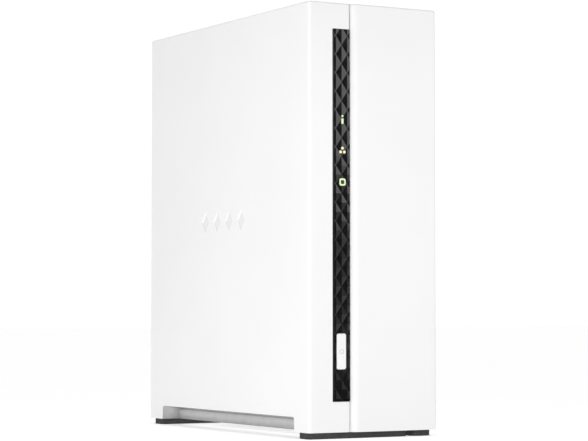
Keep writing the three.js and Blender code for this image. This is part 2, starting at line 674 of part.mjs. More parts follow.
// ---------------------------------------------------------------- drive connection
// A small horizontal board carries the drive's connector and plugs into the mainboard.
const LINK = { z: [16.2, 17.6], y: [-44, 4] };
const SLOT_X = [FACE, FACE + 7];

function boardSlot() {
  const y = [LINK.y[0] + 8, LINK.y[1] - 8];
  const body = box(SLOT_X, y, [LINK.z[0] - 2.4, LINK.z[1] + 2.4]);
  const slit = box([SLOT_X[0] + 2, SLOT_X[1] + 1], [y[0] + 2, y[1] - 2], [LINK.z[0] - 0.2, LINK.z[1] + 0.2]);
  return body.subtract(slit);
}

addPart("board_slot", boardSlot(), BLACK_PLASTIC);
const PLUG = { x: [-2, 3.4], y: [-39.5, -1.5] };
const SOCKETS = [
  [PLUG.y[0] + 1.6, PLUG.y[0] + 22],
  [PLUG.y[0] + 24, PLUG.y[1] - 1.6],
];

function driveRiser() {
  const tongue = box([SLOT_X[0] + 2.5, SLOT_X[1] + 1.5], [LINK.y[0] + 10.5, LINK.y[1] - 10.5], LINK.z);
  const board = box([SLOT_X[1] + 1, 8], LINK.y, LINK.z);
  let connector = box(PLUG.x, PLUG.y, [LINK.z[1] - 0.2, DRIVE.bottom - TOUCH]);
  for (const y of SOCKETS) {
    const socket = box([PLUG.x[0] + 1.6, PLUG.x[0] + 3.4], y, [LINK.z[1] + 1, DRIVE.bottom]);
    connector = connector.subtract(socket);
  }
  return join(board, tongue, connector);
}

addPart("drive_riser", driveRiser(), BOARD_GREEN);

// ---------------------------------------------------------------- drive, on its bracket
const DRIVE_SCREW_Z = [DRIVE.bottom + DRIVE_HOLE.up, DRIVE.bottom + DRIVE_HOLE.up + DRIVE_HOLE.pitch];
const DRIVE_SCREW_X = DRIVE.left + DRIVE_HOLE.in;
const DRIVE_BACK = DRIVE.front + DRIVE.width;
const DRIVE_RIGHT = DRIVE.left + DRIVE.thick;

function driveCasting() {
  const z = [DRIVE.bottom, DRIVE.bottom + DRIVE.length];
  const outline = roundRect([DRIVE.front, DRIVE_BACK], z, 2.5);
  const rim = 7;
  const well = roundRect([DRIVE.front + rim, DRIVE_BACK - rim], [z[0] + rim, z[1] - rim], 6);
  const block = prism("x", outline, DRIVE.left + 1.8, DRIVE_RIGHT - 1, 3);
  // The well for the platters opens under the lid, and the sides are relieved beside it.
  let body = block.subtract(prism("x", well, DRIVE.left + 9, DRIVE_RIGHT, 3));
  body = cut(
    body,
    box([DRIVE_RIGHT - 7, DRIVE_RIGHT], [DRIVE.front - 1, DRIVE.front + 1.2], [z[0] + 46, z[1] - 36]),
    box([DRIVE_RIGHT - 7, DRIVE_RIGHT], [DRIVE_BACK - 1.2, DRIVE_BACK + 1], [z[0] + 46, z[1] - 36]),
    box([DRIVE.left, DRIVE.left + 6], [PLUG.y[0] - 2, PLUG.y[1] + 2], [z[0] - 1, z[0] + 5]),
  );
  for (const zs of DRIVE_SCREW_Z) {
    body = cut(
      body,
      rod("y", DRIVE_SCREW_X, zs, 1.75, DRIVE.front - 1, DRIVE.front + 4.5, 10),
      rod("y", DRIVE_SCREW_X, zs, 1.75, DRIVE_BACK - 4.5, DRIVE_BACK + 1, 10),
    );
  }
  return body;
}

function driveLid() {
  const z = [DRIVE.bottom + 2, DRIVE.bottom + DRIVE.length - 2];
  const y = [DRIVE.front + 2.2, DRIVE_BACK - 2.2];
  const step = DRIVE_RIGHT - 0.4; // the lid's general surface; its pads rise above it
  const lid = prism("x", roundRect(y, z, 3), DRIVE_RIGHT - 1 + TOUCH, step, 3);
  const spindle = { y: (y[0] + y[1]) / 2, z: z[1] - 52 };
  const pad = rod("x", spindle.y, spindle.z, 34, step - 0.2, DRIVE_RIGHT, 32);
  const pivotOutline = roundRect([y[1] - 44, y[1] - 10], [z[0] + 8, z[0] + 36], 8);
  const pivotPad = prism("x", pivotOutline, step - 0.2, DRIVE_RIGHT, 3);
  return join(lid, pad, pivotPad).subtract(rod("x", spindle.y, spindle.z, 7, step, DRIVE_RIGHT + 1, 16));
}

function driveBracket() {
  const { plate, left, flange } = BRACKET;
  const x = [left, left + plate];
  const y = [DRIVE.front - plate - TOUCH, DRIVE_BACK + plate + TOUCH];
  const z = [DRIVE.bottom + 6, DRIVE.bottom + DRIVE.length - 12];
  let sheet = box(x, y, z);
  for (const side of [0, 1]) {
    const wall = side ? [y[1] - plate, y[1]] : [y[0], y[0] + plate];
    sheet = sheet.add(box([x[0], x[0] + flange], wall, z));
    // Ears reach out to the screw posts.
    for (const zp of POST.z) {
      const ear = side ? [y[1] - 1, POST.y[1] + 4] : [POST.y[0] - 4, y[0] + 1];
      sheet = sheet.add(box(x, ear, [zp - 5, zp + 5]));
      sheet = sheet.subtract(rod("x", POST.y[side], zp, 1.7, x[0] - 1, x[1] + 1, 10));
    }
    for (const zs of DRIVE_SCREW_Z) {
      sheet = sheet.subtract(rod("y", DRIVE_SCREW_X, zs, 1.9, wall[0] - 1, wall[1] + 1, 10));
    }
  }
  // Cooling slots under the drive.
  for (let i = 0; i < 5; i++) {
    const zs = z[0] + 16 + i * 22;
    sheet = sheet.subtract(prism("x", roundRect([-44, 30], [zs, zs + 10], 4), x[0] - 1, x[1] + 1, 2));
  }
  return sheet;
}

addPart("drive_bracket", driveBracket(), STEEL);
addPart("drive_casting", driveCasting(), ALUMINIUM);
addPart("drive_lid", driveLid(), STEEL);
const DRIVE_BOARD = {
  x: [DRIVE.left, DRIVE.left + 1.6],
  y: [DRIVE.front + 4, DRIVE_BACK - 4],
  z: [DRIVE.bottom + 6, DRIVE.bottom + 66],
};
addPart("drive_board", box(DRIVE_BOARD.x, DRIVE_BOARD.y, DRIVE_BOARD.z), BOARD_GREEN);

// ---------------------------------------------------------------- fan, built about its own axis
const fan = new THREE.Group();
const FAN_FRONT = REAR.front - FIT - FAN.depth;
fan.position.set(0, FAN_FRONT, FAN.z);
nas.add(fan);
const ROTOR = { from: 0.8, to: 12.2, tip: 27.2, shaft: 1.5, blades: 7 };

function fanFrame() {
  const half = FAN.size / 2;
  const body = prism("y", roundRect([-half, half], [-half, half], 3.5), 0, FAN.depth, 3);
  const waist = [3.2, FAN.depth - 3.2];
  const ring = rod("y", 0, 0, half - 0.4, waist[0] - 1, waist[1] + 1, 32);
  const around = [-half - 1, half + 1];
  const relief = box(around, waist, around).subtract(ring);
  let frame = cut(body, relief, rod("y", 0, 0, FAN.bore, -1, FAN.depth + 1, 40));
  for (const sx of [-1, 1]) {
    for (const sz of [-1, 1]) {
      frame = frame.subtract(rod("y", sx * FAN.holes, sz * FAN.holes, 1.9, -1, FAN.depth + 1, 10));
    }
  }
  // The motor mount hangs on three struts at the back and carries the bearing tube.
  const motor = rod("y", 0, 0, FAN.hub - 0.6, FAN.depth - 1.8, FAN.depth - 0.2, 24);
  const struts = [0, 1, 2].map((i) => {
    const strut = new THREE.BoxGeometry(3, 1.5, FAN.bore - 8);
    strut.translate(0, FAN.depth - 1.1, (FAN.bore + 10) / 2);
    strut.rotateY((i * 2 * Math.PI) / 3 + Math.PI / 3);
    return solid(strut);
  });
  const tube = cut(
    rod("y", 0, 0, 4.2, 4.6, FAN.depth - 1, 16),
    rod("y", 0, 0, ROTOR.shaft + 0.3, 4, FAN.depth - 1.5, 12),
  );
  return join(frame, motor, ...struts, tube);
}

// One swept blade: a thin section turned progressively from root to tip.
function blade(angle) {
  const stations = 3;
  const chord = 15;
  const thick = 1.1;
  const root = FAN.hub - 0.8;
  const shape = polygon([
    [-chord / 2, -thick / 4],
    [0, -thick / 2],
    [chord / 2, -thick / 4],
    [chord / 2, thick / 4],
    [0, thick / 2],
    [-chord / 2, thick / 4],
  ]);
  const geometry = new THREE.ExtrudeGeometry(shape, {
    depth: ROTOR.tip - root,
    steps: stations,
    bevelEnabled: false,
    curveSegments: 1,
  });
  const position = geometry.attributes.position;
  for (let i = 0; i < position.count; i++) {
    const along = position.getZ(i);
    const share = along / (ROTOR.tip - root);
    const pitch = THREE.MathUtils.degToRad(48 - 14 * share);
    const wide = 1 + 0.25 * share;
    const [u, v] = [position.getX(i) * wide, position.getY(i)];
    const x = u * Math.cos(pitch) - v * Math.sin(pitch) + 3.5 * share;
    const y = u * Math.sin(pitch) + v * Math.cos(pitch);
    const reach = Math.sqrt(Math.max((root + along) ** 2 - x * x, 1));
    position.setXYZ(i, x, y + (ROTOR.from + ROTOR.to) / 2, reach);
  }
  geometry.rotateY(angle);
  return solid(geometry);
}

function fanRotor() {
  const hub = cut(
    rod("y", 0, 0, FAN.hub, ROTOR.from, ROTOR.to, 28, FAN.hub),
    rod("y", 0, 0, FAN.hub - 1.4, ROTOR.from + 1.6, ROTOR.to + 1, 24),
  );
  const shaft = rod("y", 0, 0, ROTOR.shaft, ROTOR.from + 1, FAN.depth - 2.2, 12);
  const keep = rod("y", 0, 0, ROTOR.tip, ROTOR.from, ROTOR.to, 40);
  const blades = Array.from({ length: ROTOR.blades }, (_, i) => blade((i * 2 * Math.PI) / ROTOR.blades));
  const inside = rod("y", 0, 0, FAN.hub - 0.7, ROTOR.from - 1, ROTOR.to + 1, 28);
  return join(join(...blades).subtract(inside).intersect(keep), hub, shaft);
}

addPart("fan_frame", fanFrame(), FAN_BLACK, fan);
addPart("fan_rotor", fanRotor(), FAN_BLACK, fan);

// ---------------------------------------------------------------- cables held inside
// A bar of the given section along a smooth curve through the points.
function cable(points, section, steps) {
  const path = new THREE.CatmullRomCurve3(points.map((p) => new THREE.Vector3(...p)));
  const options = { steps, extrudePath: path, bevelEnabled: false, curveSegments: 2 };
  return solid(new THREE.ExtrudeGeometry(section, options));
}

const HEADER = { y: [46, 54], z: [104, 110] };

function fanHeader() {
  const wall = 0.8;
  const y = [HEADER.y[0] + wall, HEADER.y[1] - wall];
  const z = [HEADER.z[0] + wall, HEADER.z[1] - wall];
  return onBoard(6, HEADER.y, HEADER.z).subtract(box([FACE + 2, FACE + 7], y, z));
}

addPart("fan_header", fanHeader(), CABLE_WHITE);
const CABLE_Y = (HEADER.y[0] + HEADER.y[1]) / 2;
const CABLE_Z = (HEADER.z[0] + HEADER.z[1]) / 2;
addPart(
  "fan_cable",
  cable(
    [
      [FACE + 2.4, CABLE_Y, CABLE_Z],
      [FACE + 7.5, CABLE_Y, CABLE_Z],
      [FACE + 10.5, CABLE_Y + 1.5, CABLE_Z + 2],
      [FACE + 11, CABLE_Y + 5, CABLE_Z + 8],
      [FACE + 8, FAN_FRONT - 3, CABLE_Z + 14],
      [FACE + 3.5, FAN_FRONT - 2.2, CABLE_Z + 17],
      [FACE + 3, FAN_FRONT - 0.2, CABLE_Z + 17.2],
    ],
    circle(0, 0, 1.1),
    14,
  ),
  BLACK_PLASTIC,
);

// The flat ribbon from the indicator board to the mainboard, with a plug at each end.
const RIBBON = { z: [64, 76], thick: 0.5, plug: 3 };

function ribbon() {
  const start = [LED_BOARD.x[1] - 3, LED_BOARD.back + TOUCH];
  const end = [FACE, BOARD.front + 6];
  const curve = new THREE.CubicBezierCurve(
    new THREE.Vector2(start[0], start[1] + RIBBON.plug - 0.2),
    new THREE.Vector2(start[0], start[1] + RIBBON.plug + 7),
    new THREE.Vector2(end[0] + RIBBON.plug + 9, end[1]),
    new THREE.Vector2(end[0] + RIBBON.plug - 0.2, end[1]),
  );
  const steps = 10;
  const side = (sign) =>
    Array.from({ length: steps + 1 }, (_, i) => {
      const at = curve.getPointAt(i / steps);
      const along = curve.getTangentAt(i / steps);
      const reach = (sign * RIBBON.thick) / 2;
      return [at.x - along.y * reach, at.y + along.x * reach];
    });
  const flat = prism("z", polygon([...side(1), ...side(-1).reverse()]), RIBBON.z[0] + 1, RIBBON.z[1] - 1);
  const frontPlug = box([start[0] - 2, start[0] + 2], [start[1], start[1] + RIBBON.plug], RIBBON.z);
  const boardPlug = box([end[0], end[0] + RIBBON.plug], [end[1] - 2, end[1] + 2], RIBBON.z);
  return join(flat, frontPlug, boardPlug);
}

addPart("indicator_ribbon", ribbon(), CABLE_WHITE);

// ---------------------------------------------------------------- screws
// A pan-head screw with a cross recess, its head's seat at the origin and its shank along -Z.
function screwBody(head, headHeight, shank, length) {
  const profile = [
    [0, -length],
    [shank, -length],
    [shank, 0],
    [head, 0],
    [head * 0.9, headHeight],
    [0, headHeight],
  ].map(([r, y]) => new THREE.Vector2(r, y));
  const turned = new THREE.LatheGeometry(profile, 8);
  turned.rotateX(Math.PI / 2);
  const slot = head * 0.62;
  const bite = 0.28 * head * 0.5;
  const floor = headHeight * 0.35;
  return cut(
    solid(turned),
    box([-slot, slot], [-bite, bite], [floor, headHeight + 1]),
    box([-bite, bite], [-slot, slot], [floor, headHeight + 1]),
  );
}

const TOWARDS = {
  "+x": [0, Math.PI / 2, 0],
  "+y": [-Math.PI / 2, 0, 0],
  "-y": [Math.PI / 2, 0, 0],
};

function addScrew(name, geometryBody, side, position) {
  const mesh = addPart(name, geometryBody, STEEL);
  mesh.rotation.set(...TOWARDS[side]);
  mesh.position.set(...position);
}

const rearScrew = screwBody(2.7, 1.3, 1.4, 8);
COVER_SCREWS.forEach(([x, z], i) => {
  addScrew(`cover_screw_${i ? "upper" : "lower"}`, rearScrew, "+y", [x, REAR.back - SCREW_SINK + TOUCH, z]);
});
PANEL_SCREWS.forEach(([x, z], i) => {
  addScrew(`panel_screw_${i ? "upper" : "lower"}`, rearScrew, "+y", [x, REAR.back - SCREW_SINK + TOUCH, z]);
});
const fanScrew = screwBody(3.1, 1.3, 1.6, 9);
[
  ["left_lower", -1, -1],
  ["right_lower", 1, -1],
  ["left_upper", -1, 1],
  ["right_upper", 1, 1],
].forEach(([place, sx, sz]) => {
  const seat = [sx * FAN.holes, REAR.back - SCREW_SINK + TOUCH, FAN.z + sz * FAN.holes];
  addScrew(`fan_screw_${place}`, fanScrew, "+y", seat);
});
const driveScrew = screwBody(2.8, 1.6, 1.4, 4.6);
const boardScrew = screwBody(2.6, 1.4, 0.9, 5);
["lower", "upper"].forEach((level, i) => {
  const z = DRIVE_SCREW_Z[i];
  const out = BRACKET.plate + 2 * TOUCH;
  addScrew(`drive_screw_front_${level}`, driveScrew, "-y", [DRIVE_SCREW_X, DRIVE.front - out, z]);
  addScrew(`drive_screw_back_${level}`, driveScrew, "+y", [DRIVE_SCREW_X, DRIVE_BACK + out, z]);
  const seat = BRACKET.left + BRACKET.plate + TOUCH;
  addScrew(`bracket_screw_front_${level}`, boardScrew, "+x", [seat, POST.y[0], POST.z[i]]);
  addScrew(`bracket_screw_back_${level}`, boardScrew, "+x", [seat, POST.y[1], POST.z[i]]);
});
["front_lower", "front_upper", "back_lower", "back_upper"].forEach((place, i) => {
  addScrew(`board_screw_${place}`, boardScrew, "+x", [FACE, ...BOARD_POSTS[i]]);
});

export default nas;
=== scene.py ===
"""Looks of a one-drive network attached storage unit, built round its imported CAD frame. Metres, +Z up."""

import json
import math
import random

import bmesh
import bpy
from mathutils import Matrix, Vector


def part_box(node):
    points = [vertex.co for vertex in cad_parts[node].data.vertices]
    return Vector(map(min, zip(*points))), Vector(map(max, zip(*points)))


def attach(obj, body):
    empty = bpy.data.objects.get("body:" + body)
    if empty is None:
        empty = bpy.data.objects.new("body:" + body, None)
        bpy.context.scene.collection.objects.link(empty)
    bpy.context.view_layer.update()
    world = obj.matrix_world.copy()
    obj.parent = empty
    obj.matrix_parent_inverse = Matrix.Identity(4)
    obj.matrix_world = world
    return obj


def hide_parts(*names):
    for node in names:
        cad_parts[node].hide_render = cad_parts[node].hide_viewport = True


MM = 0.001
SHARP = math.radians(32)  # an edge that bends more than this is sharp
TOUCH = 0.01 * MM  # points this near to each other count as level

# The photograph's camera: left of the front, just under a third of the way up, tilted a little upwards.
CAMERA_PLACE = (-0.47684, -0.83540, 0.05413)
CAMERA_YAW = 29.945
CAMERA_TILT = 2.575
LENS = 125.86

FLOOR_GLOW = 0.38
# The world's strength to the eye, as light and in reflections.
WORLD = {"seen": 1.05, "lighting": 0.45, "mirrored": 0.45}

# Each soft light's place, aim, size and power, and whether it shows in reflections and lights matt faces.
SOFT_LIGHTS = {
    "left_softbox": ((-0.42, -0.14, 0.06), (0, 0, 0.06), (0.2, 0.15), 0.38, False, True),
    "corner_softbox": ((-0.36, -0.44, 0.06), (0, 0, 0.06), (0.2, 0.15), 0.36, True, True),
    "front_softbox": ((0.02, -0.33, 0.08), (0.02, 0, 0.08), (0.2, 0.15), 0.105, False, True),
    "strip_light": ((0.264, -0.307, 0.233), (-0.015, -0.075, 0.233), (0.26, 0.214), 0.345, True, False),
}

# The black cards: their reach from the strip's foot, and the angles they span seen from above, in degrees.
CARD = {"origin": (-0.015, -0.075, 0), "near": 0.02, "far": 0.6, "height": 0.32, "lift": 0.5 * MM}
UPRIGHT_SPREAD = (2, 30)
FLAT_SPREAD = (-10, 80)

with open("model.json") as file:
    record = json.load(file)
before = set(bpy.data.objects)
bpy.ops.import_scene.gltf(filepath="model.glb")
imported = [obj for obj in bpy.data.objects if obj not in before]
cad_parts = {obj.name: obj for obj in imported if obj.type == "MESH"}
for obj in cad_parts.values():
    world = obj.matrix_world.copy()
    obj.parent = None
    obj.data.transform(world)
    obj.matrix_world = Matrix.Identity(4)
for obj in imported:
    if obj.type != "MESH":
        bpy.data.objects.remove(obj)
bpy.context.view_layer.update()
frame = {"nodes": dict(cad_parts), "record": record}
NODES = frame["nodes"]
BODY_OF = {n: b for b, ns in frame["record"]["behaviour"]["bodies"].items() for n in ns}
SLOT_OF = {s["node"]: s["material_slot"] for s in frame["record"]["subparts"]}


# ---- shader building
def srgb(hex_colour):
    """Linear RGBA of a six-digit hex colour."""
    parts = [int(hex_colour[i : i + 2], 16) / 255 for i in (0, 2, 4)]
    return (*(c / 12.92 if c <= 0.04045 else ((c + 0.055) / 1.055) ** 2.4 for c in parts), 1)


def grey(value):
    """Linear RGBA of a grey."""
    return (value, value, value, 1)


class Shader:
    """A node material: a Principled shader, and short names for the nodes that feed it."""

    def __init__(self, name, roughness=0.5, metallic=0.0):
        self.material = bpy.data.materials.new(name)
        self.material.use_nodes = True
        self.tree = self.material.node_tree
        self.main = self.tree.nodes["Principled BSDF"]
        self.place = self.node("ShaderNodeTexCoord").outputs["Object"]
        self.set("Roughness", roughness)
        self.set("Metallic", metallic)

    def node(self, kind, inputs=None, **settings):
        """A new node with its settings made and its inputs fed."""
        made = self.tree.nodes.new(kind)
        for key, value in settings.items():
            setattr(made, key, value)
        for key, value in (inputs or {}).items():
            self.feed(made.inputs[key], value)
        return made

    def feed(self, socket, value):
        """Links another node's output to an input, or sets the input to a plain value."""
        if isinstance(value, bpy.types.NodeSocket):
            self.tree.links.new(value, socket)
        else:
            socket.default_value = value

    def set(self, name, value):
        """Feeds an input of the Principled shader."""
        self.feed(self.main.inputs[name], value)

    def stretched(self, x, y, z):
        """The object's own coordinates, scaled along each axis."""
        return self.node("ShaderNodeMapping", {"Vector": self.place, "Scale": (x, y, z)}).outputs["Vector"]

    def noise(self, scale, detail=2.0, vector=None):
        """Smooth noise from 0 to 1, with scale blotches to the metre."""
        inputs = {"Vector": vector or self.place, "Scale": scale, "Detail": detail}
        return self.node("ShaderNodeTexNoise", inputs).outputs["Fac"]

    def cells(self, scale, output="Distance", vector=None):
        """Random cells: each point's distance from its cell's middle, or its cell's colour."""
        inputs = {"Vector": vector or self.place, "Scale": scale}
        return self.node("ShaderNodeTexVoronoi", inputs).outputs[output]

    def span(self, value, low, high, to_low, to_high):
        """value's range low..high, moved to another range."""
        limits = {"From Min": low, "From Max": high, "To Min": to_low, "To Max": to_high}
        return self.node("ShaderNodeMapRange", {"Value": value, **limits}).outputs["Result"]

    def blend(self, fac, a, b):
        """Colour a where fac is 0, and b where it is 1."""
        return self.node("ShaderNodeMix", {"Factor": fac, 6: a, 7: b}, data_type="RGBA").outputs[2]

    def paint(self, scale, a, b):
        """Base colour that wanders between two colours."""
        self.set("Base Color", self.blend(self.noise(scale), a, b))

    def roughen(self, scale, low, high):
        """Roughness that wanders between two values."""
        self.set("Roughness", self.span(self.noise(scale), 0.3, 0.7, low, high))

    def bump(self, height, distance, strength=1.0):
        """A height field in units of distance, in metres."""
        inputs = {"Height": height, "Distance": distance, "Strength": strength}
        self.set("Normal", self.node("ShaderNodeBump", inputs).outputs["Normal"])


def satin_white():
    """Moulded white plastic with a fine spark-eroded texture."""
    s = Shader("satin_white")
    cloud = s.noise(14, 3)
    s.set("Base Color", s.blend(s.span(cloud, 0.3, 0.7, 0, 1), srgb("f3f3f3"), srgb("f6f6f6")))
    s.roughen(900, 0.42, 0.5)
    s.bump(s.noise(2600, 2), 0.02 * MM, 0.35)
    return s.material


def gloss_black():
    """The front strip: dark glossy plastic."""
    s = Shader("gloss_black")
    s.paint(60, grey(0.005), grey(0.008))
    s.roughen(500, 0.10, 0.16)
    s.bump(s.noise(1800), 0.004 * MM, 0.15)
    return s.material


def rubber():
    """Dark grey rubber of the feet."""
    s = Shader("foot_rubber")
    s.set("Base Color", s.blend(s.noise(120, 4), grey(0.028), grey(0.05)))
    s.roughen(700, 0.68, 0.85)
    s.bump(s.noise(1600, 4), 0.05 * MM, 0.5)
    return s.material


def lit_lens(name, deep, pale, strength):
    """A diffusing lens with a lamp behind it."""
    s = Shader(name, roughness=0.3)
    glow = s.blend(s.span(s.noise(500, 1), 0.35, 0.65, 0, 1), srgb(deep), srgb(pale))
    s.set("Base Color", srgb("303830"))
    s.set("Emission Color", glow)
    s.set("Emission Strength", strength)
    return s.material


def circuit_board():
    """Green solder mask over zones of fine tracks and plain copper, with rows of small vias."""
    s = Shader("circuit_board")
    axes = s.node("ShaderNodeSeparateXYZ", {"Vector": s.place}).outputs
    across = s.node("ShaderNodeMath", {0: axes["Y"], 1: axes["X"]}, operation="ADD").outputs["Value"]
    flat = s.node("ShaderNodeCombineXYZ", {"X": across, "Y": axes["Z"]}).outputs["Vector"]
    bricks = {"Scale": 1, "Brick Width": 6 * MM, "Row Height": 0.75 * MM, "Mortar Size": 0.14 * MM}
    lanes = s.node("ShaderNodeTexBrick", {"Vector": flat, **bricks}).outputs["Fac"]
    zones = s.span(s.noise(70, 0, flat), 0.46, 0.48, 0, 1)
    tracks = s.node("ShaderNodeMath", {0: lanes, 1: zones}, operation="MULTIPLY").outputs["Value"]
    vias = s.span(s.cells(420, vector=flat), 0.16, 0.2, 1, 0)
    mask = s.blend(s.noise(40), srgb("0d3a20"), srgb("124526"))
    s.set("Base Color", s.blend(vias, s.blend(tracks, mask, srgb("1f6238")), srgb("8d9a6a")))
    s.roughen(300, 0.3, 0.42)
    s.set("Coat Weight", 0.2)
    s.bump(tracks, 0.03 * MM, 0.4)
    return s.material


def chip():
    """Black moulding compound of chips and small board parts."""
    s = Shader("chip_plastic")
    s.paint(900, srgb("1b1c1e"), srgb("26272a"))
    s.roughen(600, 0.5, 0.7)
    s.bump(s.noise(2400), 0.02 * MM, 0.5)
    return s.material


def moulded_black():
    """Black plastic of the fan and the sockets' insides."""
    s = Shader("moulded_black")
    s.paint(200, srgb("17181a"), srgb("1f2022"))
    s.roughen(700, 0.38, 0.52)
    s.bump(s.noise(1500), 0.02 * MM, 0.4)
    return s.material


def plated_steel():
    """Zinc-plated sheet: broad soft spangles."""
    s = Shader("plated_steel", metallic=1.0)
    spangle = s.cells(160, output="Color")
    s.set("Base Color", s.blend(spangle, srgb("a9adb2"), srgb("c3c6ca")))
    s.roughen(220, 0.26, 0.42)
    s.bump(s.noise(1200), 0.01 * MM, 0.3)
    return s.material


def brushed_lid():
    """Drive lid: sheet metal brushed along its length."""
    s = Shader("brushed_lid", metallic=1.0)
    lines = s.noise(1, 3, s.stretched(300, 2600, 14))
    s.set("Base Color", s.blend(lines, srgb("b4b7bb"), srgb("d0d2d5")))
    s.set("Roughness", s.span(lines, 0.3, 0.7, 0.24, 0.38))
    s.bump(lines, 0.01 * MM, 0.4)
    return s.material


def cast_aluminium():
    """Grainy cast metal of the drive's body."""
    s = Shader("cast_aluminium", metallic=1.0)
    grain = s.noise(1100, 4)
    s.set("Base Color", s.blend(grain, srgb("8f9296"), srgb("b4b6ba")))
    s.set("Roughness", s.span(grain, 0.3, 0.7, 0.38, 0.58))
    s.bump(grain, 0.06 * MM, 0.4)
    return s.material


def cable_plastic():
    """Off-white plastic of the cables and their plugs."""
    s = Shader("cable_plastic")
    s.paint(150, srgb("dcdcd8"), srgb("ececea"))
    s.roughen(400, 0.4, 0.55)
    s.bump(s.noise(900), 0.02 * MM, 0.3)
    return s.material


def matt_plastic(name, low, high):
    """A plain moulded or printed surface between two colours, also used for the greys that paint shade in
    the housing's pockets and sunk mark.
    """
    s = Shader(name)
    s.set("Base Color", s.blend(s.span(s.noise(180, 3), 0.3, 0.7, 0, 1), srgb(low), srgb(high)))
    s.roughen(800, 0.46, 0.6)
    s.bump(s.noise(2200), 0.02 * MM, 0.3)
    return s.material


def gold_plate():
    """Gold plating of contacts."""
    s = Shader("gold_plate", metallic=1.0)
    s.paint(300, srgb("d8b25c"), srgb("ecca78"))
    s.roughen(500, 0.22, 0.34)
    return s.material


def grey_ink():
    """Printed grey of the power symbol."""
    s = Shader("grey_ink")
    s.paint(600, srgb("b9bbbd"), srgb("c6c8ca"))
    s.roughen(900, 0.45, 0.6)
    return s.material


MATERIALS = {
    "white_plastic": satin_white(),
    "foot_rubber": rubber(),
    "strip_plastic": gloss_black(),
    "green_lens": lit_lens("green_lens", "e4f5c6", "f6fce6", 1.0),
    "amber_lens": lit_lens("amber_lens", "fcf6d4", "fffcec", 1.1),
    "circuit_board": circuit_board(),
    "chip_plastic": chip(),
    "cast_aluminium": cast_aluminium(),
    "plated_steel": plated_steel(),
    "fan_plastic": moulded_black(),
    "cable_plastic": cable_plastic(),
}
LENS_RIM = {
    "green_lens": lit_lens("green_rim", "9cc46e", "b4d888", 0.7),
    "amber_lens": lit_lens("amber_rim", "d0be7c", "e2d294", 0.7),
}
GREY_INK = grey_ink()
BRUSHED_LID = brushed_lid()
# Painted shade: the pockets' insides are white plastic, coloured grey here to show the shade inside them.
POCKET_SHADE_GREY = matt_plastic("pocket_painted_shade", "bababa", "c4c4c4")
# Painted shade: a paler grey on the floor of the sunk rhombi, so that they read as whole hollows.
MARK_SHADE_GREY = matt_plastic("mark_painted_shade", "eaeaea", "ededed")
LABEL_PAPER = matt_plastic("label_paper", "e9e9e6", "ecece9")
LABEL_FOIL = matt_plastic("label_foil", "3a3c3f", "46484c")
CERAMIC = matt_plastic("ceramic", "9c7f5c", "b39a78")
PORT_BLUE = matt_plastic("port_blue", "1f5fae", "2a6cbc")
PORT_WHITE = matt_plastic("port_white", "dcdcda", "e6e6e4")
CLEAR_LENS = matt_plastic("clear_lens", "d2d6cf", "dfe3dc")
GOLD = gold_plate()
STEEL = MATERIALS["plated_steel"]


# ---- pieces
REPLACED = set()
PIERCED_FACE = 70  # a flat face with more corners is full of holes: it stays in triangles
MERGE_DISTANCE = 0.002 * MM
FLAT_ANGLE = math.radians(0.5)


def place_piece(name, shape, node, materials=None, slot=None):
    """A piece made of a bmesh, which rides with a CAD node's body and has its finish."""
    mesh = bpy.data.meshes.new(name)
    shape.to_mesh(mesh)
    shape.free()
    piece = bpy.data.objects.new(name, mesh)
    bpy.context.scene.collection.objects.link(piece)
    slot = slot or SLOT_OF[node]
    for material in materials or [MATERIALS[slot]]:
        mesh.materials.append(material)
    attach(piece, BODY_OF[node])
    return piece


def stand_for(node):
    """Lets a piece take the place of a CAD node."""
    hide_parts(node)
    REPLACED.add(node)


def cad_shape(node):
    """The CAD node's shape, with each flat face made one polygon."""
    shape = bmesh.new()
    shape.from_mesh(NODES[node].data)
    bmesh.ops.remove_doubles(shape, verts=shape.verts, dist=MERGE_DISTANCE)
    bmesh.ops.dissolve_limit(
        shape,
        angle_limit=FLAT_ANGLE,
        verts=shape.verts,
        edges=shape.edges,
        use_dissolve_boundaries=False,
    )
    pierced = [f for f in shape.faces if len(f.verts) > PIERCED_FACE]
    for face in bmesh.ops.triangulate(shape, faces=pierced)["faces"]:
        for edge in face.edges:
            edge.seam = True
    for face in shape.faces:
        face.material_index = 0
    return shape


def refined(node, fine=0.2, segments=2, materials=None, prepare=None):
    """A piece in the place of one CAD node: the node's shape with clean faces and rounded edges."""
    shape = cad_shape(node)
    if prepare:
        prepare(shape)
    elif any(edge.seam for edge in shape.edges):
        weigh_edges(shape, fine or 1, [(lambda e: True, fine)])
    piece = place_piece(node + "_look", shape, node, materials)
    round_edges(piece, fine, segments)
    stand_for(node)


def smooth_by_angle(piece):
    """Shades a piece smooth, apart from its sharp edges."""
    piece.data.shade_smooth()
    for edge in piece.data.edges:
        edge.use_edge_sharp = False
    shape = bmesh.new()
    shape.from_mesh(piece.data)
    for edge in shape.edges:
        edge.smooth = len(edge.link_faces) == 2 and edge.calc_face_angle(0) < SHARP
    shape.to_mesh(piece.data)
    shape.free()


def round_edges(piece, width, segments=2):
    """Rounds the sharp edges to a width in millimetres, and keeps the faces between them flat."""
    if not width:
        smooth_by_angle(piece)
        return
    piece.data.shade_smooth()
    bevel = piece.modifiers.new("round", "BEVEL")
    bevel.width = width * MM
    bevel.segments = segments
    bevel.angle_limit = SHARP
    bevel.limit_method = "WEIGHT" if "bevel_weight_edge" in piece.data.attributes else "ANGLE"
    bevel.use_clamp_overlap = False
    bevel.miter_outer = "MITER_ARC"
    weighted = piece.modifiers.new("flat_faces", "WEIGHTED_NORMAL")
    weighted.weight = 100
    weighted.keep_sharp = True


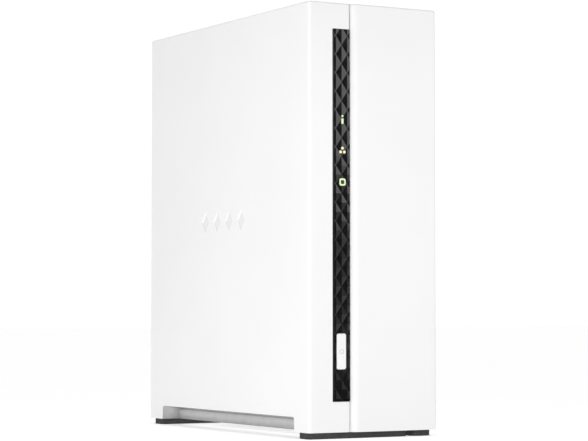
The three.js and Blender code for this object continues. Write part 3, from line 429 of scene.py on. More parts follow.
def weigh_edges(shape, width, rules):
    """Gives each sharp edge the size, in millimetres, of the first rule that fits it."""
    layers = shape.edges.layers.float
    layer = layers.get("bevel_weight_edge") or layers.new("bevel_weight_edge")
    for edge in shape.edges:
        if len(edge.link_faces) == 2 and edge.calc_face_angle(0) > SHARP:
            chosen = 0 if edge.seam else next(size for fits, size in rules if fits(edge))
            edge[layer] = chosen / width


def combined(piece, tools, operation="DIFFERENCE"):
    """Cuts tool objects out of a piece, or joins them to it, and removes them."""
    for tool in tools:
        modifier = piece.modifiers.new("tool", "BOOLEAN")
        modifier.object = tool
        modifier.operation = operation
        modifier.solver = "EXACT"
    graph = bpy.context.evaluated_depsgraph_get()
    mesh = bpy.data.meshes.new_from_object(piece.evaluated_get(graph), depsgraph=graph)
    piece.modifiers.clear()
    piece.data = mesh
    for tool in tools:
        bpy.data.objects.remove(tool)


def tool_object(shape):
    """A plain object made of a bmesh, for combined() to use and remove."""
    mesh = bpy.data.meshes.new("tool")
    shape.to_mesh(mesh)
    shape.free()
    tool = bpy.data.objects.new("tool", mesh)
    bpy.context.scene.collection.objects.link(tool)
    return tool


# ---- outlines and solids
def around(middle, half):
    """Limits that lie equally far from a middle."""
    return middle - half, middle + half


def disc(u, v, radius, count=24):
    """Points of a circle."""
    turn = 2 * math.pi / count
    return [(u + radius * math.cos(i * turn), v + radius * math.sin(i * turn)) for i in range(count)]


def rounded(u, v, radius, count=5):
    """Points of a rectangle with rounded corners, going round counterclockwise."""
    points = []
    for corner, (cu, cv) in enumerate([(u[1], v[0]), (u[1], v[1]), (u[0], v[1]), (u[0], v[0])]):
        centre = (cu + radius * (1 if cu == u[0] else -1), cv + radius * (1 if cv == v[0] else -1))
        for step in range(count + 1):
            angle = math.pi / 2 * (corner - 1 + step / count)
            points.append((centre[0] + radius * math.cos(angle), centre[1] + radius * math.sin(angle)))
    return points


def on_axis(axis, u, v, w):
    """A point with (u, v) across an axis and w along it: (x, y), (y, z) and (x, z) across z, x and y."""
    return {"x": (w, u, v), "y": (u, w, v), "z": (u, v, w)}[axis]


def add_prism(shape, axis, outline, start, end, material=0):
    """Adds a closed prism: an outline drawn along an axis, from one coordinate to another."""
    rings = [[shape.verts.new(on_axis(axis, u, v, w)) for u, v in outline] for w in (start, end)]
    faces = [shape.faces.new(rings[0][::-1]), shape.faces.new(rings[1])]
    for i in range(len(outline)):
        j = (i + 1) % len(outline)
        faces.append(shape.faces.new((rings[0][i], rings[0][j], rings[1][j], rings[1][i])))
    for face in faces:
        face.material_index = material
    bmesh.ops.recalc_face_normals(shape, faces=faces)


# ---- housing
EDGE_ROUND = 0.8  # in millimetres, at the top rim
RIM_ROUND = 0.5  # at the bottom rim
FINE_ROUND = 0.2  # at other outer edges
EDGE_REACH = 2.2 * MM  # how far in from the housing's outside its vertical edges' rounding goes

SHELL_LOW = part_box("main_shell")[0]
HOUSING_HALF = -SHELL_LOW.x
# The side pockets: how far they go in from the side and along the depth, and the height of their ceiling.
POCKET = {"reach": 10.5 * MM, "half_length": 66 * MM, "top": 9.25 * MM}
MARK_DEPTH = 0.5 * MM
FACES_AWAY = -0.9  # a normal's part along an axis, below which a face looks back along it
# White plastic, and two greys of painted shade for the pockets' insides and the sunk mark's floor.
HOUSING_WHITE_AND_SHADE_GREYS = [MATERIALS["white_plastic"], POCKET_SHADE_GREY, MARK_SHADE_GREY]


def is_pocket_wall(face):
    """Whether a face is on a pocket's inner wall, in its groove or at its ends."""
    if face.normal.z <= FACES_AWAY or abs(face.calc_center_median().x) > HOUSING_HALF - 0.05 * MM:
        return False
    return all(
        abs(v.co.x) > HOUSING_HALF - POCKET["reach"]
        and abs(v.co.y) < POCKET["half_length"]
        and v.co.z < POCKET["top"]
        for v in face.verts
    )


def is_pocket_ceiling(face):
    """Whether a face is the flat underside above a pocket."""
    return face.normal.z < FACES_AWAY and all(abs(v.co.z - POCKET["top"]) < 0.1 * MM for v in face.verts)


def is_mark_floor(face):
    """Whether a face is the floor of one of the sunk rhombi."""
    floor = MARK_DEPTH - HOUSING_HALF
    return face.normal.x < FACES_AWAY and all(abs(v.co.x - floor) < 2 * TOUCH for v in face.verts)


def finish_or_painted_shade_of(face):
    """Which of the housing's colours a face has: white, a grey that paints the shade inside the pockets, or
    a paler grey that paints shade on the sunk mark's floor.
    """
    if is_pocket_wall(face) or is_pocket_ceiling(face):
        return 1
    return 2 if is_mark_floor(face) else 0


def housing_rounding(outer_sides):
    """Rounds a shell's outer rims at its top and bottom most, other outer edges a little, no inner edge."""

    def prepare(shape):
        lows = [min(v.co[i] for v in shape.verts) for i in range(3)]
        highs = [max(v.co[i] for v in shape.verts) for i in range(3)]
        sides = {"left": (0, lows[0]), "right": (0, highs[0]), "front": (1, lows[1]), "back": (1, highs[1])}
        outside = [sides[name] for name in outer_sides]

        def near_outside(vert):
            return any(abs(vert.co[axis] - place) < EDGE_REACH for axis, place in outside)

        def level(edge, height):
            return all(abs(v.co.z - height) < TOUCH and near_outside(v) for v in edge.verts)

        rules = [
            (lambda e: level(e, highs[2]), EDGE_ROUND),
            (lambda e: level(e, lows[2]), RIM_ROUND),
            (lambda e: all(near_outside(v) for v in e.verts), FINE_ROUND),
            (lambda e: True, 0),
        ]
        weigh_edges(shape, EDGE_ROUND, rules)
        # The pockets' insides and the sunk mark's floor get greys of painted shade.
        for face in shape.faces:
            face.material_index = finish_or_painted_shade_of(face)

    return prepare


refined("main_shell", EDGE_ROUND, 3, HOUSING_WHITE_AND_SHADE_GREYS, housing_rounding(["left", "front", "back"]))
refined("side_cover", EDGE_ROUND, 3, HOUSING_WHITE_AND_SHADE_GREYS, housing_rounding(["right", "front", "back"]))


# ---- front strip
STRIP_LOW, STRIP_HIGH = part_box("front_strip")
STRIP_FACE = STRIP_LOW.y
STRIP_FLANGE = 2 * MM  # the strip's flange behind the window's left, top and bottom
STRIP_FIT = 0.15 * MM  # the strip's play in its window
STRIP_CORNER = 0.5 * MM
FLANGE_FRONT = SHELL_LOW.y + 2.05 * MM
FLANGE_BACK = SHELL_LOW.y + 3.6 * MM
CREASE_ROUND = 0.05 * MM

# The facets are low pyramids in staggered columns. One of them has its peak at FACET_START.
FACET = {"half_width": 2.85 * MM, "half_height": 4.03 * MM, "depth": 0.12 * MM}
FACET_START = {"x": -15.65 * MM, "z": 166.3 * MM}
FACET_COLUMNS = range(-3, 4)
FACET_ROWS = range(-30, 8)
MARGIN = 1.1 * MM  # plain band beside the facets

KEY_ROUND = 0.45
KEY_COLLAR = {"x": 0.9 * MM, "z": 1 * MM}  # how far the collar behind the strip stands out round the key
KEY_GAP = 0.25 * MM

# The indicator symbols: sizes, and places from the middle of each lens, in millimetres.
SYMBOL_X = sum(corner.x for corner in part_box("status_lens")) / 2
DOT = {"radius": 0.55, "height": 1.4}
BAR = {"half": 0.55, "bottom": 2, "top": 0.45, "corner": 0.3}
THREE_DOTS = {"radius": 0.7, "places": [(0, 0.76), (-0.94, -0.89), (0.94, -0.89)]}
SQUARE = {"half": 1.6, "corner": 0.9}
SYMBOL_GAP = 0.12 * MM
LENS_ROUND = 0.04
LENS_RIM_WIDTH = 0.1 * MM
HOLLOW = {"growth": 1.3, "reach": 0.7 * MM, "depth": 2 * MM}  # the hollow in the disk symbol


def facet_field(left, right, bottom, top, back):
    """A closed block whose front is a field of low four-sided pyramids in staggered columns."""
    shape = bmesh.new()
    wide, tall, deep = FACET["half_width"], FACET["half_height"], FACET["depth"]
    for column in FACET_COLUMNS:
        x = FACET_START["x"] + column * wide
        for row in FACET_ROWS:
            z = FACET_START["z"] + (2 * row + column % 2) * tall
            peak = shape.verts.new((x, STRIP_FACE, z))
            rim = [(x, z + tall), (x - wide, z), (x, z - tall), (x + wide, z)]
            base = [shape.verts.new((u, STRIP_FACE + deep, v)) for u, v in rim]
            for i in range(4):
                shape.faces.new((peak, base[i], base[(i + 1) % 4]))
    bmesh.ops.remove_doubles(shape, verts=shape.verts, dist=TOUCH)
    limits = [((left, 0, 0), (-1, 0, 0)), ((right, 0, 0), (1, 0, 0))]
    limits += [((0, 0, bottom), (0, 0, -1)), ((0, 0, top), (0, 0, 1))]
    for point, outward in limits:
        geometry = shape.verts[:] + shape.edges[:] + shape.faces[:]
        cut = {"plane_co": point, "plane_no": outward, "dist": 0.1 * TOUCH, "clear_outer": True}
        bmesh.ops.bisect_plane(shape, geom=geometry, **cut)
    rim_edges = [e for e in shape.edges if e.is_boundary]
    made = bmesh.ops.extrude_edge_only(shape, edges=rim_edges)["geom"]
    for vert in (g for g in made if isinstance(g, bmesh.types.BMVert)):
        vert.co.y = back
    bmesh.ops.holes_fill(shape, edges=[e for e in shape.edges if e.is_boundary])
    bmesh.ops.recalc_face_normals(shape, faces=shape.faces)
    return shape


def front_strip():
    """The strip: facets beside a plain margin, a flange behind, and holes for the key and the lenses."""
    left, right = STRIP_LOW.x + STRIP_FLANGE + STRIP_FIT, STRIP_HIGH.x + STRIP_FIT
    bottom, top = STRIP_LOW.z + STRIP_FLANGE + STRIP_FIT, STRIP_HIGH.z - STRIP_FLANGE - STRIP_FIT
    overlap = 0.1 * MM
    shape = facet_field(left + MARGIN, right, bottom, top, FLANGE_BACK - overlap)
    piece = place_piece("front_strip_look", shape, "front_strip")
    base, flange, holes = (bmesh.new() for _ in range(3))
    window = rounded((left, right), (bottom, top), STRIP_CORNER)
    plain = STRIP_FACE + FACET["depth"] + 0.25 * MM
    add_prism(base, "y", window, plain, FLANGE_BACK - 2 * overlap)
    whole = rounded((STRIP_LOW.x, STRIP_HIGH.x), (STRIP_LOW.z, STRIP_HIGH.z), STRIP_CORNER)
    add_prism(flange, "y", whole, FLANGE_FRONT, FLANGE_BACK)
    combined(piece, [tool_object(base), tool_object(flange)], "UNION")
    for outline in (key_hole(), *symbol_outlines(SYMBOL_GAP)):
        add_prism(holes, "y", outline, STRIP_FACE - MM, FLANGE_BACK + MM)
    combined(piece, [tool_object(holes)])
    stand_for("front_strip")
    bevel = piece.modifiers.new("crease", "BEVEL")
    bevel.width = CREASE_ROUND
    bevel.angle_limit = math.radians(50)
    bevel.use_clamp_overlap = True


def key_hole():
    """Outline of the strip's hole for the key, which is narrower than the key's collar."""
    low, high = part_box("power_button")
    x, z = KEY_COLLAR["x"] - KEY_GAP, KEY_COLLAR["z"] - KEY_GAP
    return rounded((low.x + x, high.x - x), (low.z + z, high.z - z), 1.1 * MM)


def level_of(node):
    """Height of the middle of a CAD node."""
    low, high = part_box(node)
    return (low.z + high.z) / 2


def symbol_outlines(grow=0.0):
    """Outlines of the three indicator symbols: a dot over a bar, three dots, and a rounded square."""
    x = SYMBOL_X
    status, network, disk = (level_of(n) for n in ("status_lens", "network_lens", "disk_lens"))
    half_bar = BAR["half"] * MM + grow
    bar_height = (status - BAR["bottom"] * MM - grow, status + BAR["top"] * MM + grow)
    half_square = SQUARE["half"] * MM + grow
    dot_radius = THREE_DOTS["radius"] * MM + grow
    return [
        disc(x, status + DOT["height"] * MM, DOT["radius"] * MM + grow),
        rounded(around(x, half_bar), bar_height, BAR["corner"] * MM),
        *(disc(x + dx * MM, network + dz * MM, dot_radius) for dx, dz in THREE_DOTS["places"]),
        rounded(around(x, half_square), around(disk, half_square), SQUARE["corner"] * MM),
    ]


def lens(node):
    """An indicator lens: its lit front face is brighter inside a narrow rim."""

    def prepare(shape):
        front = min(v.co.y for v in shape.verts)
        if node == "disk_lens":
            widen_hollow(shape, front)
        faces = [f for f in shape.faces if all(v.co.y < front + TOUCH for v in f.verts)]
        bmesh.ops.inset_region(shape, faces=faces, thickness=LENS_RIM_WIDTH, use_even_offset=True)
        bright = set(faces)
        for face in shape.faces:
            face.material_index = 0 if face in bright else 1

    slot = SLOT_OF[node]
    refined(node, LENS_ROUND, 1, [MATERIALS[slot], LENS_RIM[slot]], prepare)


def widen_hollow(shape, front):
    """Makes the hollow in the disk symbol a little wider, so that its ring is thinner."""
    x, z = SYMBOL_X, level_of("disk_lens")
    for vert in shape.verts:
        across, up = vert.co.x - x, vert.co.z - z
        if max(abs(across), abs(up)) < HOLLOW["reach"] and vert.co.y < front + HOLLOW["depth"]:
            vert.co.x = x + HOLLOW["growth"] * across
            vert.co.z = z + HOLLOW["growth"] * up


def disk_symbol_core():
    """The dark middle of the disk symbol, which stands in the lens's hollow."""
    shape = bmesh.new()
    x, z = SYMBOL_X, level_of("disk_lens")
    half, corner, deep = 0.8 * MM, 0.33 * MM, 0.8 * MM
    front = STRIP_FACE + 0.3 * MM
    outline = rounded(around(x, half), around(z, half), corner)
    add_prism(shape, "y", outline, front, front + deep)
    place_piece("disk_symbol_core", shape, "disk_lens", slot="strip_plastic")


def power_button():
    """The key with a soft front edge, and its printed symbol: an open ring with a bar."""
    low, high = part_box("power_button")

    def soften_front(shape):
        front_edge = (lambda e: all(abs(v.co.y - low.y) < TOUCH for v in e.verts), KEY_ROUND)
        weigh_edges(shape, KEY_ROUND, [front_edge, (lambda e: True, 0.06)])

    refined("power_button", KEY_ROUND, 4, prepare=soften_front)
    x, z = (low.x + high.x) / 2, (low.z + high.z) / 2
    shape = bmesh.new()
    radius, line, opening = 0.95 * MM, 0.22 * MM, math.radians(38)
    count = 28
    angles = [math.pi / 2 + opening + i * (2 * math.pi - 2 * opening) / count for i in range(count + 1)]
    outer, inner = radius + line / 2, radius - line / 2
    arc = [(x + outer * math.cos(a), z + outer * math.sin(a)) for a in angles]
    arc += [(x + inner * math.cos(a), z + inner * math.sin(a)) for a in angles[::-1]]
    bar = rounded(around(x, line / 2), (z + 0.2 * radius, z + 1.25 * radius), line * 0.4)
    for outline in (arc, bar):
        add_prism(shape, "y", outline, low.y - 0.03 * MM, low.y + 0.1 * MM)
    place_piece("power_symbol", shape, "power_button", [GREY_INK])


front_strip()
for lens_node in ("status_lens", "network_lens", "disk_lens"):
    lens(lens_node)
disk_symbol_core()
power_button()


# ---- turned metal
def turned(shape, axis, centre, profile, count=24):
    """Adds a solid of revolution. Its profile runs from pole to pole, as (place along the axis, radius)."""
    rings = []
    for along, radius in profile:
        outline = disc(*centre, radius, count) if radius else [centre]
        rings.append([shape.verts.new(on_axis(axis, u, v, along)) for u, v in outline])
    faces = []
    for near, far in zip(rings, rings[1:]):
        for i in range(count):
            j = i + 1
            corners = [near[i % len(near)], near[j % len(near)], far[j % len(far)], far[i % len(far)]]
            faces.append(shape.faces.new(list(dict.fromkeys(corners))))
    bmesh.ops.recalc_face_normals(shape, faces=faces)


# Head height and thread radius of each kind of screw, in millimetres.
SCREWS = {
    "cover": (1.3, 1.4),
    "panel": (1.3, 1.4),
    "fan": (1.3, 1.6),
    "drive": (1.4, 1.6),
    "bracket": (1.4, 0.9),
    "board": (1.4, 0.9),
}
THREAD = {"pitch": 0.7 * MM, "depth": 0.18 * MM}
# A screw head's profile: share of its height, and of its radius.
HEAD_PROFILE = [(0, 0), (0, 0.5), (0.14, 0.8), (0.4, 0.97), (0.6, 1), (1, 1)]


def cross(u, v, arm, half):
    """Outline of an upright cross."""
    quarter = [(arm, -half), (arm, half), (half, half)]
    turns = [(1, 0), (0, 1), (-1, 0), (0, -1)]
    return [(u + a * c - b * s, v + a * s + b * c) for c, s in turns for a, b in quarter]


def screw(node):
    """A pan-head screw with a cross recess and a ringed thread."""
    low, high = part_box(node)
    size = high - low
    axis = "x" if abs(size.y - size.z) < TOUCH else "y"
    if axis == "x":
        centre, start, end = ((low.y + high.y) / 2, (low.z + high.z) / 2), high.x, low.x
        radius = size.z / 2
    else:
        centre, start, end = ((low.x + high.x) / 2, (low.z + high.z) / 2), high.y, low.y
        radius = size.x / 2
    if node.startswith("drive_screw_front"):
        start, end = end, start
    inward = 1 if end > start else -1
    head, thread = (size_mm * MM for size_mm in SCREWS[node.split("_")[0]])
    profile = [(start + inward * share * head, r * radius) for share, r in HEAD_PROFILE]
    pitch, core = THREAD["pitch"], thread - THREAD["depth"]
    along = head
    length = abs(end - start)
    while along < length - 1.2 * pitch:
        profile.append((start + inward * along, core))
        profile.append((start + inward * (along + pitch / 2), thread))
        along += pitch
    profile += [(start + inward * along, core), (end, 0.55 * thread), (end, 0)]
    shape = bmesh.new()
    turned(shape, axis, centre, profile, 20)
    piece = place_piece(node + "_look", shape, node)
    recess = bmesh.new()
    outline = cross(*centre, 0.5 * radius, 0.13 * radius)
    add_prism(recess, axis, outline, start - inward * MM, start + inward * 0.8 * head)
    combined(piece, [tool_object(recess)])
    smooth_by_angle(piece)
    stand_for(node)


# ---- fan
FAN_HUB = {"radius": 14 * MM, "wall": 1.2 * MM, "shaft": 1.5 * MM}
BLADE = {"count": 7, "span": 44, "sweep": 16, "thick": 1.1 * MM, "camber": 1.3 * MM}


def fan_blade(shape, centre, turn, tip, front, back):
    """One curved blade, from the hub out to the tip, closed all round."""
    steps_out, steps_round = 6, 8
    root = FAN_HUB["radius"] - 0.3 * MM
    sheets = []
    for side in (-1, 1):
        sheet = []
        for i in range(steps_out + 1):
            out = i / steps_out
            radius = root + (tip - root) * out
            row = []
            for j in range(steps_round + 1):
                across = j / steps_round
                angle = math.radians(turn + BLADE["sweep"] * out + BLADE["span"] * (across - 0.5))
                rise = front + (back - front) * across - BLADE["camber"] * math.sin(math.pi * across)
                thick = BLADE["thick"] * (0.25 + 0.75 * math.sin(math.pi * (0.08 + 0.84 * across)))
                x, z = centre[0] + radius * math.cos(angle), centre[1] + radius * math.sin(angle)
                row.append(shape.verts.new((x, rise + side * thick / 2, z)))
            sheet.append(row)
        sheets.append(sheet)
    faces = []
    for sheet in sheets:
        for i in range(steps_out):
            for j in range(steps_round):
                near, far = sheet[i], sheet[i + 1]
                faces.append(shape.faces.new((near[j], far[j], far[j + 1], near[j + 1])))
    rims = []
    for sheet in sheets:
        rim = sheet[0] + [row[-1] for row in sheet[1:]]
        rim += sheet[-1][-2::-1] + [row[0] for row in sheet[-2:0:-1]]
        rims.append(rim)
    count = len(rims[0])
    for i in range(count):
        j = (i + 1) % count
        faces.append(shape.faces.new((rims[0][i], rims[0][j], rims[1][j], rims[1][i])))
    bmesh.ops.recalc_face_normals(shape, faces=faces)


def fan_rotor():
    """The rotor: an open cup with a shaft, and blades round it."""
    low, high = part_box("fan_rotor")
    centre = fan_centre()
    radius, wall, shaft = FAN_HUB["radius"], FAN_HUB["wall"], FAN_HUB["shaft"]
    shape = bmesh.new()
    front, back = low.y, high.y
    floor = front + 2 * wall
    profile = [(front, 0), (front, radius - 2 * MM), (front + 0.5 * MM, radius - 0.5 * MM)]
    profile += [(front + 1.4 * MM, radius), (back, radius), (back, radius - wall), (floor, radius - wall)]
    profile += [(floor, shaft), (back - 0.6 * MM, shaft), (back, 0.7 * shaft), (back, 0)]
    turned(shape, "y", centre, profile, 48)
    tip = fan_tip()
    for i in range(BLADE["count"]):
        fan_blade(shape, centre, i * 360 / BLADE["count"], tip, front + 2.4 * MM, back - 0.9 * MM)
    piece = place_piece("fan_rotor_look", shape, "fan_rotor")
    smooth_by_angle(piece)
    stand_for("fan_rotor")


def fan_centre():
    """The fan's axis, as (x, z)."""
    low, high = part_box("fan_frame")
    return (low.x + high.x) / 2, (low.z + high.z) / 2


def fan_tip():
    """Radius of the blades' tips."""
    low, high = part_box("fan_rotor")
    return (high.z - low.z) / 2 - 0.1 * MM


def fan_sticker():
    """A blank label on the back of the fan's motor mount."""
    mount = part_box("fan_frame")[1].y - 0.2 * MM
    front, back, radius = mount - 0.1 * MM, mount + 0.06 * MM, 11.8 * MM
    shape = bmesh.new()
    turned(shape, "y", fan_centre(), [(front, 0), (front, radius), (back, radius), (back, 0)], 48)
    smooth_by_angle(place_piece("fan_sticker", shape, "fan_frame", [LABEL_FOIL]))


# ---- rear sockets
# A spring's outline is in millimetres, from the mouth's left side and in from the back.
SPRING = {"count": 8, "pitch": 1.02 * MM, "half_width": 0.21 * MM}
SPRING["outline"] = [(0.3, 1.5), (0.55, 1.5), (3.4, 9), (3.15, 9.2)]


def block(shape, x, y, z, material=0):
    """Adds a box. x, y and z are its limits."""
    outline = [(x[0], y[0]), (x[1], y[0]), (x[1], y[1]), (x[0], y[1])]
    add_prism(shape, "z", outline, *z, material)


def within(face, x, y, z):
    """Whether a face lies wholly inside a box."""
    limits = (x, y, z)
    return all(limits[i][0] - TOUCH <= v.co[i] <= limits[i][1] + TOUCH for v in face.verts for i in range(3))


def ethernet_port():
    """A shielded socket with a dark inside, eight gold springs and two small lights."""
    low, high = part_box("ethernet_jack")
    mouth = (low.x + 2.6 * MM, high.x - 1.3 * MM)
    middle = (low.z + high.z) / 2
    half = 5.9 * MM
    inside = (mouth[0], mouth[1]), (low.y + 6 * MM, high.y), around(middle, half)

    def is_wall(face):
        return within(face, *inside) and abs(face.normal.y) < 0.5

    def is_back(face):
        return face.normal.y > 0.5 and all(abs(v.co.y - inside[1][0]) < TOUCH for v in face.verts)

    def darken(shape):
        for face in shape.faces:
            face.material_index = 1 if is_wall(face) or is_back(face) else 0

    refined("ethernet_jack", materials=[STEEL, MATERIALS["fan_plastic"]], prepare=darken)
    springs = bmesh.new()
    outline = [(mouth[0] + dx * MM, high.y - dy * MM) for dx, dy in SPRING["outline"]]
    for i in range(SPRING["count"]):
        z = middle + (i - (SPRING["count"] - 1) / 2) * SPRING["pitch"]
        add_prism(springs, "z", outline, *around(z, SPRING["half_width"]))
    place_piece("ethernet_springs", springs, "ethernet_jack", [GOLD])
    lights = bmesh.new()
    for side in (-1, 1):
        z = middle + side * 6.6 * MM
        x, y = (high.x - 2.2 * MM, high.x - 0.7 * MM), (high.y - 0.3 * MM, high.y + 0.05 * MM)
        block(lights, x, y, around(z, 1 * MM))
    round_edges(place_piece("ethernet_lights", lights, "ethernet_jack", [CLEAR_LENS]), 0.1)


def usb_port(node, tongue_material):
    """A USB socket: its tongue is plastic, with four gold contacts."""
    low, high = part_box(node)
    shell = 1.2 * MM
    tongue = (low.x + 3.1 * MM, low.x + 4.9 * MM), (low.y, high.y - shell), (low.z + shell, high.z - shell)

    def paint(shape):
        for face in shape.faces:
            face.material_index = 1 if within(face, *tongue) else 0

    refined(node, materials=[STEEL, tongue_material], prepare=paint)
    contacts = bmesh.new()
    middle = (low.z + high.z) / 2
    for place in (-3.5, -1, 1, 3.5):
        z = middle + place * MM
        x = (tongue[0][0] - 0.06 * MM, tongue[0][0] + 0.05 * MM)
        block(contacts, x, (high.y - 8.5 * MM, high.y - 2 * MM), around(z, 0.5 * MM))
    place_piece(node + "_contacts", contacts, node, [GOLD])


def power_inlet():
    """The round power inlet, with its centre pin in metal."""
    low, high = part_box("dc_jack")
    centre_x, centre_z = high.x - 4.5 * MM, (low.z + high.z) / 2

    def paint(shape):
        for face in shape.faces:
            near = all(math.hypot(v.co.x - centre_x, v.co.z - centre_z) < 1.3 * MM for v in face.verts)
            face.material_index = 1 if near else 0

    refined("dc_jack", materials=[MATERIALS["chip_plastic"], STEEL], prepare=paint)


# ---- drive
def drive_lid():
    """The drive's lid, with six sunk screws and a blank label."""
    refined("drive_lid", 0.2, 2, [BRUSHED_LID])
    low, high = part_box("drive_lid")
    face, inset = high.x - 0.4 * MM, 3.2 * MM
    y_mid, z_mid = (low.y + high.y) / 2, (low.z + high.z) / 2
    front, back, bottom, top = low.y + inset, high.y - inset, low.z + inset, high.z - inset
    places = [(front, bottom), (back, bottom), (front, top), (back, top)]
    places += [(front, z_mid), (back, z_mid + 6 * MM)]
    shape = bmesh.new()
    radius, height = 2.1 * MM, 0.35 * MM
    foot, crown, socket = face - 0.2 * MM, face + height, face - 0.1 * MM
    profile = [(foot, 0), (foot, radius), (face + 0.6 * height, radius), (crown, 0.8 * radius)]
    profile += [(crown, 0.5 * radius), (socket, 0.42 * radius), (socket, 0)]
    for y, z in places:
        turned(shape, "x", (y, z), profile, 18)
    smooth_by_angle(place_piece("drive_lid_screws", shape, "drive_lid", [STEEL]))
    label = bmesh.new()
    half, under, tall = 30 * MM, low.z + 44 * MM, 34 * MM
    outline = rounded(around(y_mid, half), (under, under + tall), 1.5 * MM)
    add_prism(label, "x", outline, high.x - 0.05 * MM, high.x + 0.03 * MM)
    place_piece("drive_label", label, "drive_lid", [LABEL_PAPER])


# ---- mainboard parts
BOARD_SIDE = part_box("mainboard")[1].x
SMALL_PART = (1.6, 0.8, 0.5)  # length, width and height of a chip resistor or capacitor, in millimetres
BOARD_SPLIT = 116 * MM  # height at which the board's lower and upper areas meet
CHIP_SIZES = [(5, 6), (7, 7), (4, 4), (6, 9)]
CAN = {"radius": 3 * MM, "top": 5.4 * MM, "rim": 0.4 * MM, "base_half": 3.2 * MM, "base_height": 0.8 * MM}
SEED, PLACE_TRIES = 7, 40
COUNTS = {"chips": 9, "cans": 7, "small_parts": 190}
BIG_PARTS = ["coin_cell", "battery_holder", "board_slot", "processor", "heat_sink", "memory_chip"]
BIG_PARTS += ["power_inductor", "network_transformer", "usb_port_upper", "usb_port_lower", "ethernet_jack"]
BIG_PARTS += ["dc_jack", "reset_switch", "fan_header", "indicator_ribbon"]
BIG_PARTS += [f"board_screw_{end}_{level}" for end in ("back", "front") for level in ("lower", "upper")]


class BoardPlan:
    """Free places on the mainboard's face, taken one by one in (y, z)."""

    def __init__(self, seed):
        self.random = random.Random(seed)
        self.taken = []
        for node in BIG_PARTS:
            low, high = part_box(node)
            self.taken.append((low.y, low.z, high.y, high.z))

    def free_place(self, wide, tall, gap, area):
        """A centre for a part of that size inside the area, or None when no place is found."""
        for _ in range(PLACE_TRIES):
            y = self.random.uniform(area[0] + wide / 2, area[2] - wide / 2)
            z = self.random.uniform(area[1] + tall / 2, area[3] - tall / 2)
            spot = (y - wide / 2 - gap, z - tall / 2 - gap, y + wide / 2 + gap, z + tall / 2 + gap)
            if all(spot[2] < t[0] or spot[0] > t[2] or spot[3] < t[1] or spot[1] > t[3] for t in self.taken):
                self.taken.append(spot)
                return y, z
        return None


def board_parts():
    """Integrated circuits, capacitors and small chip parts on the mainboard, placed by a fixed seed."""
    plan = BoardPlan(SEED)
    low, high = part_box("mainboard")
    edge = 4 * MM
    lower = (low.y + edge, low.z + edge, high.y - 18 * MM, BOARD_SPLIT)
    upper = (low.y + edge, BOARD_SPLIT, 54 * MM, high.z - edge)
    chips, cans, ends, bodies = (bmesh.new() for _ in range(4))
    for _ in range(COUNTS["chips"]):
        wide, tall = plan.random.choice(CHIP_SIZES)
        area = plan.random.choice([lower, upper, lower])
        spot = plan.free_place((wide + 2) * MM, tall * MM, 1.2 * MM, area)
        if spot:
            packaged_chip(chips, ends, *spot, wide * MM, tall * MM)
    for _ in range(COUNTS["cans"]):
        spot = plan.free_place(6.5 * MM, 6.5 * MM, 0.8 * MM, lower)
        if spot:
            capacitor(chips, cans, *spot)
    long, wide, tall = (size * MM for size in SMALL_PART)
    for _ in range(COUNTS["small_parts"]):
        upright = plan.random.random() < 0.5
        size = (wide, long) if upright else (long, wide)
        spot = plan.free_place(*size, 0.45 * MM, plan.random.choice([lower, lower, upper]))
        if spot:
            small_part(bodies, ends, *spot, size, tall, upright)
    place_piece("board_chips", chips, "mainboard", [MATERIALS["chip_plastic"]])
    smooth_by_angle(place_piece("board_capacitors", cans, "mainboard", [MATERIALS["cast_aluminium"]]))
    place_piece("board_small_parts", bodies, "mainboard", [CERAMIC, MATERIALS["chip_plastic"]])
    place_piece("board_contacts", ends, "mainboard", [STEEL])


def capacitor(bases, cans, y, z):
    """An aluminium can on a square black base."""
    half = CAN["base_half"]
    block(bases, (BOARD_SIDE, BOARD_SIDE + CAN["base_height"]), around(y, half), around(z, half))
    foot, top, radius, rim = BOARD_SIDE + 0.7 * MM, BOARD_SIDE + CAN["top"], CAN["radius"], CAN["rim"]
    profile = [(foot, 0), (foot, radius), (top - rim, radius), (top, radius - rim), (top, 0)]
    turned(cans, "x", (y, z), profile, 20)


def packaged_chip(chips, ends, y, z, wide, tall):
    """A flat black chip with a row of leads on either side."""
    height = 1.1 * MM
    x = (BOARD_SIDE + 0.1 * MM, BOARD_SIDE + height)
    block(chips, x, around(y, wide / 2), around(z, tall / 2))
    pitch, half_lead, lead_height = 1.27 * MM, 0.2 * MM, 0.35 * MM
    count = int(tall / pitch)
    for i in range(count):
        level = z + (i - (count - 1) / 2) * pitch
        for side in (-1, 1):
            lead = sorted((y + side * (wide / 2 - 0.1 * MM), y + side * (wide / 2 + 0.9 * MM)))
            block(ends, (BOARD_SIDE, BOARD_SIDE + lead_height), lead, around(level, half_lead))


def small_part(bodies, ends, y, z, size, height, upright):
    """A two-ended chip part: a ceramic or black body between two metal ends."""
    half = [s / 2 for s in size]
    cap = 0.3 * MM
    x = (BOARD_SIDE, BOARD_SIDE + height)
    inner = [half[0], half[1] - cap] if upright else [half[0] - cap, half[1]]
    block(bodies, x, around(y, inner[0]), around(z, inner[1]), 0 if upright else 1)
    for side in (-1, 1):
        if upright:
            block(ends, x, around(y, half[0]), sorted((z + side * inner[1], z + side * half[1])))
        else:
            block(ends, x, sorted((y + side * inner[0], y + side * half[0])), around(z, half[1]))


def transformer_pins():
    """A row of seven pins along either side of the network transformer."""
    low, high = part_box("network_transformer")
    count, long, half, tall = 7, 0.9 * MM, 0.3 * MM, 0.9 * MM
    shape = bmesh.new()
    for i in range(count):
        z = low.z + (i + 1) * (high.z - low.z) / (count + 1)
        for edge in (low.y, high.y):
            block(shape, (low.x, low.x + tall), around(edge, long), around(z, half))
    place_piece("transformer_pins", shape, "network_transformer", [STEEL])


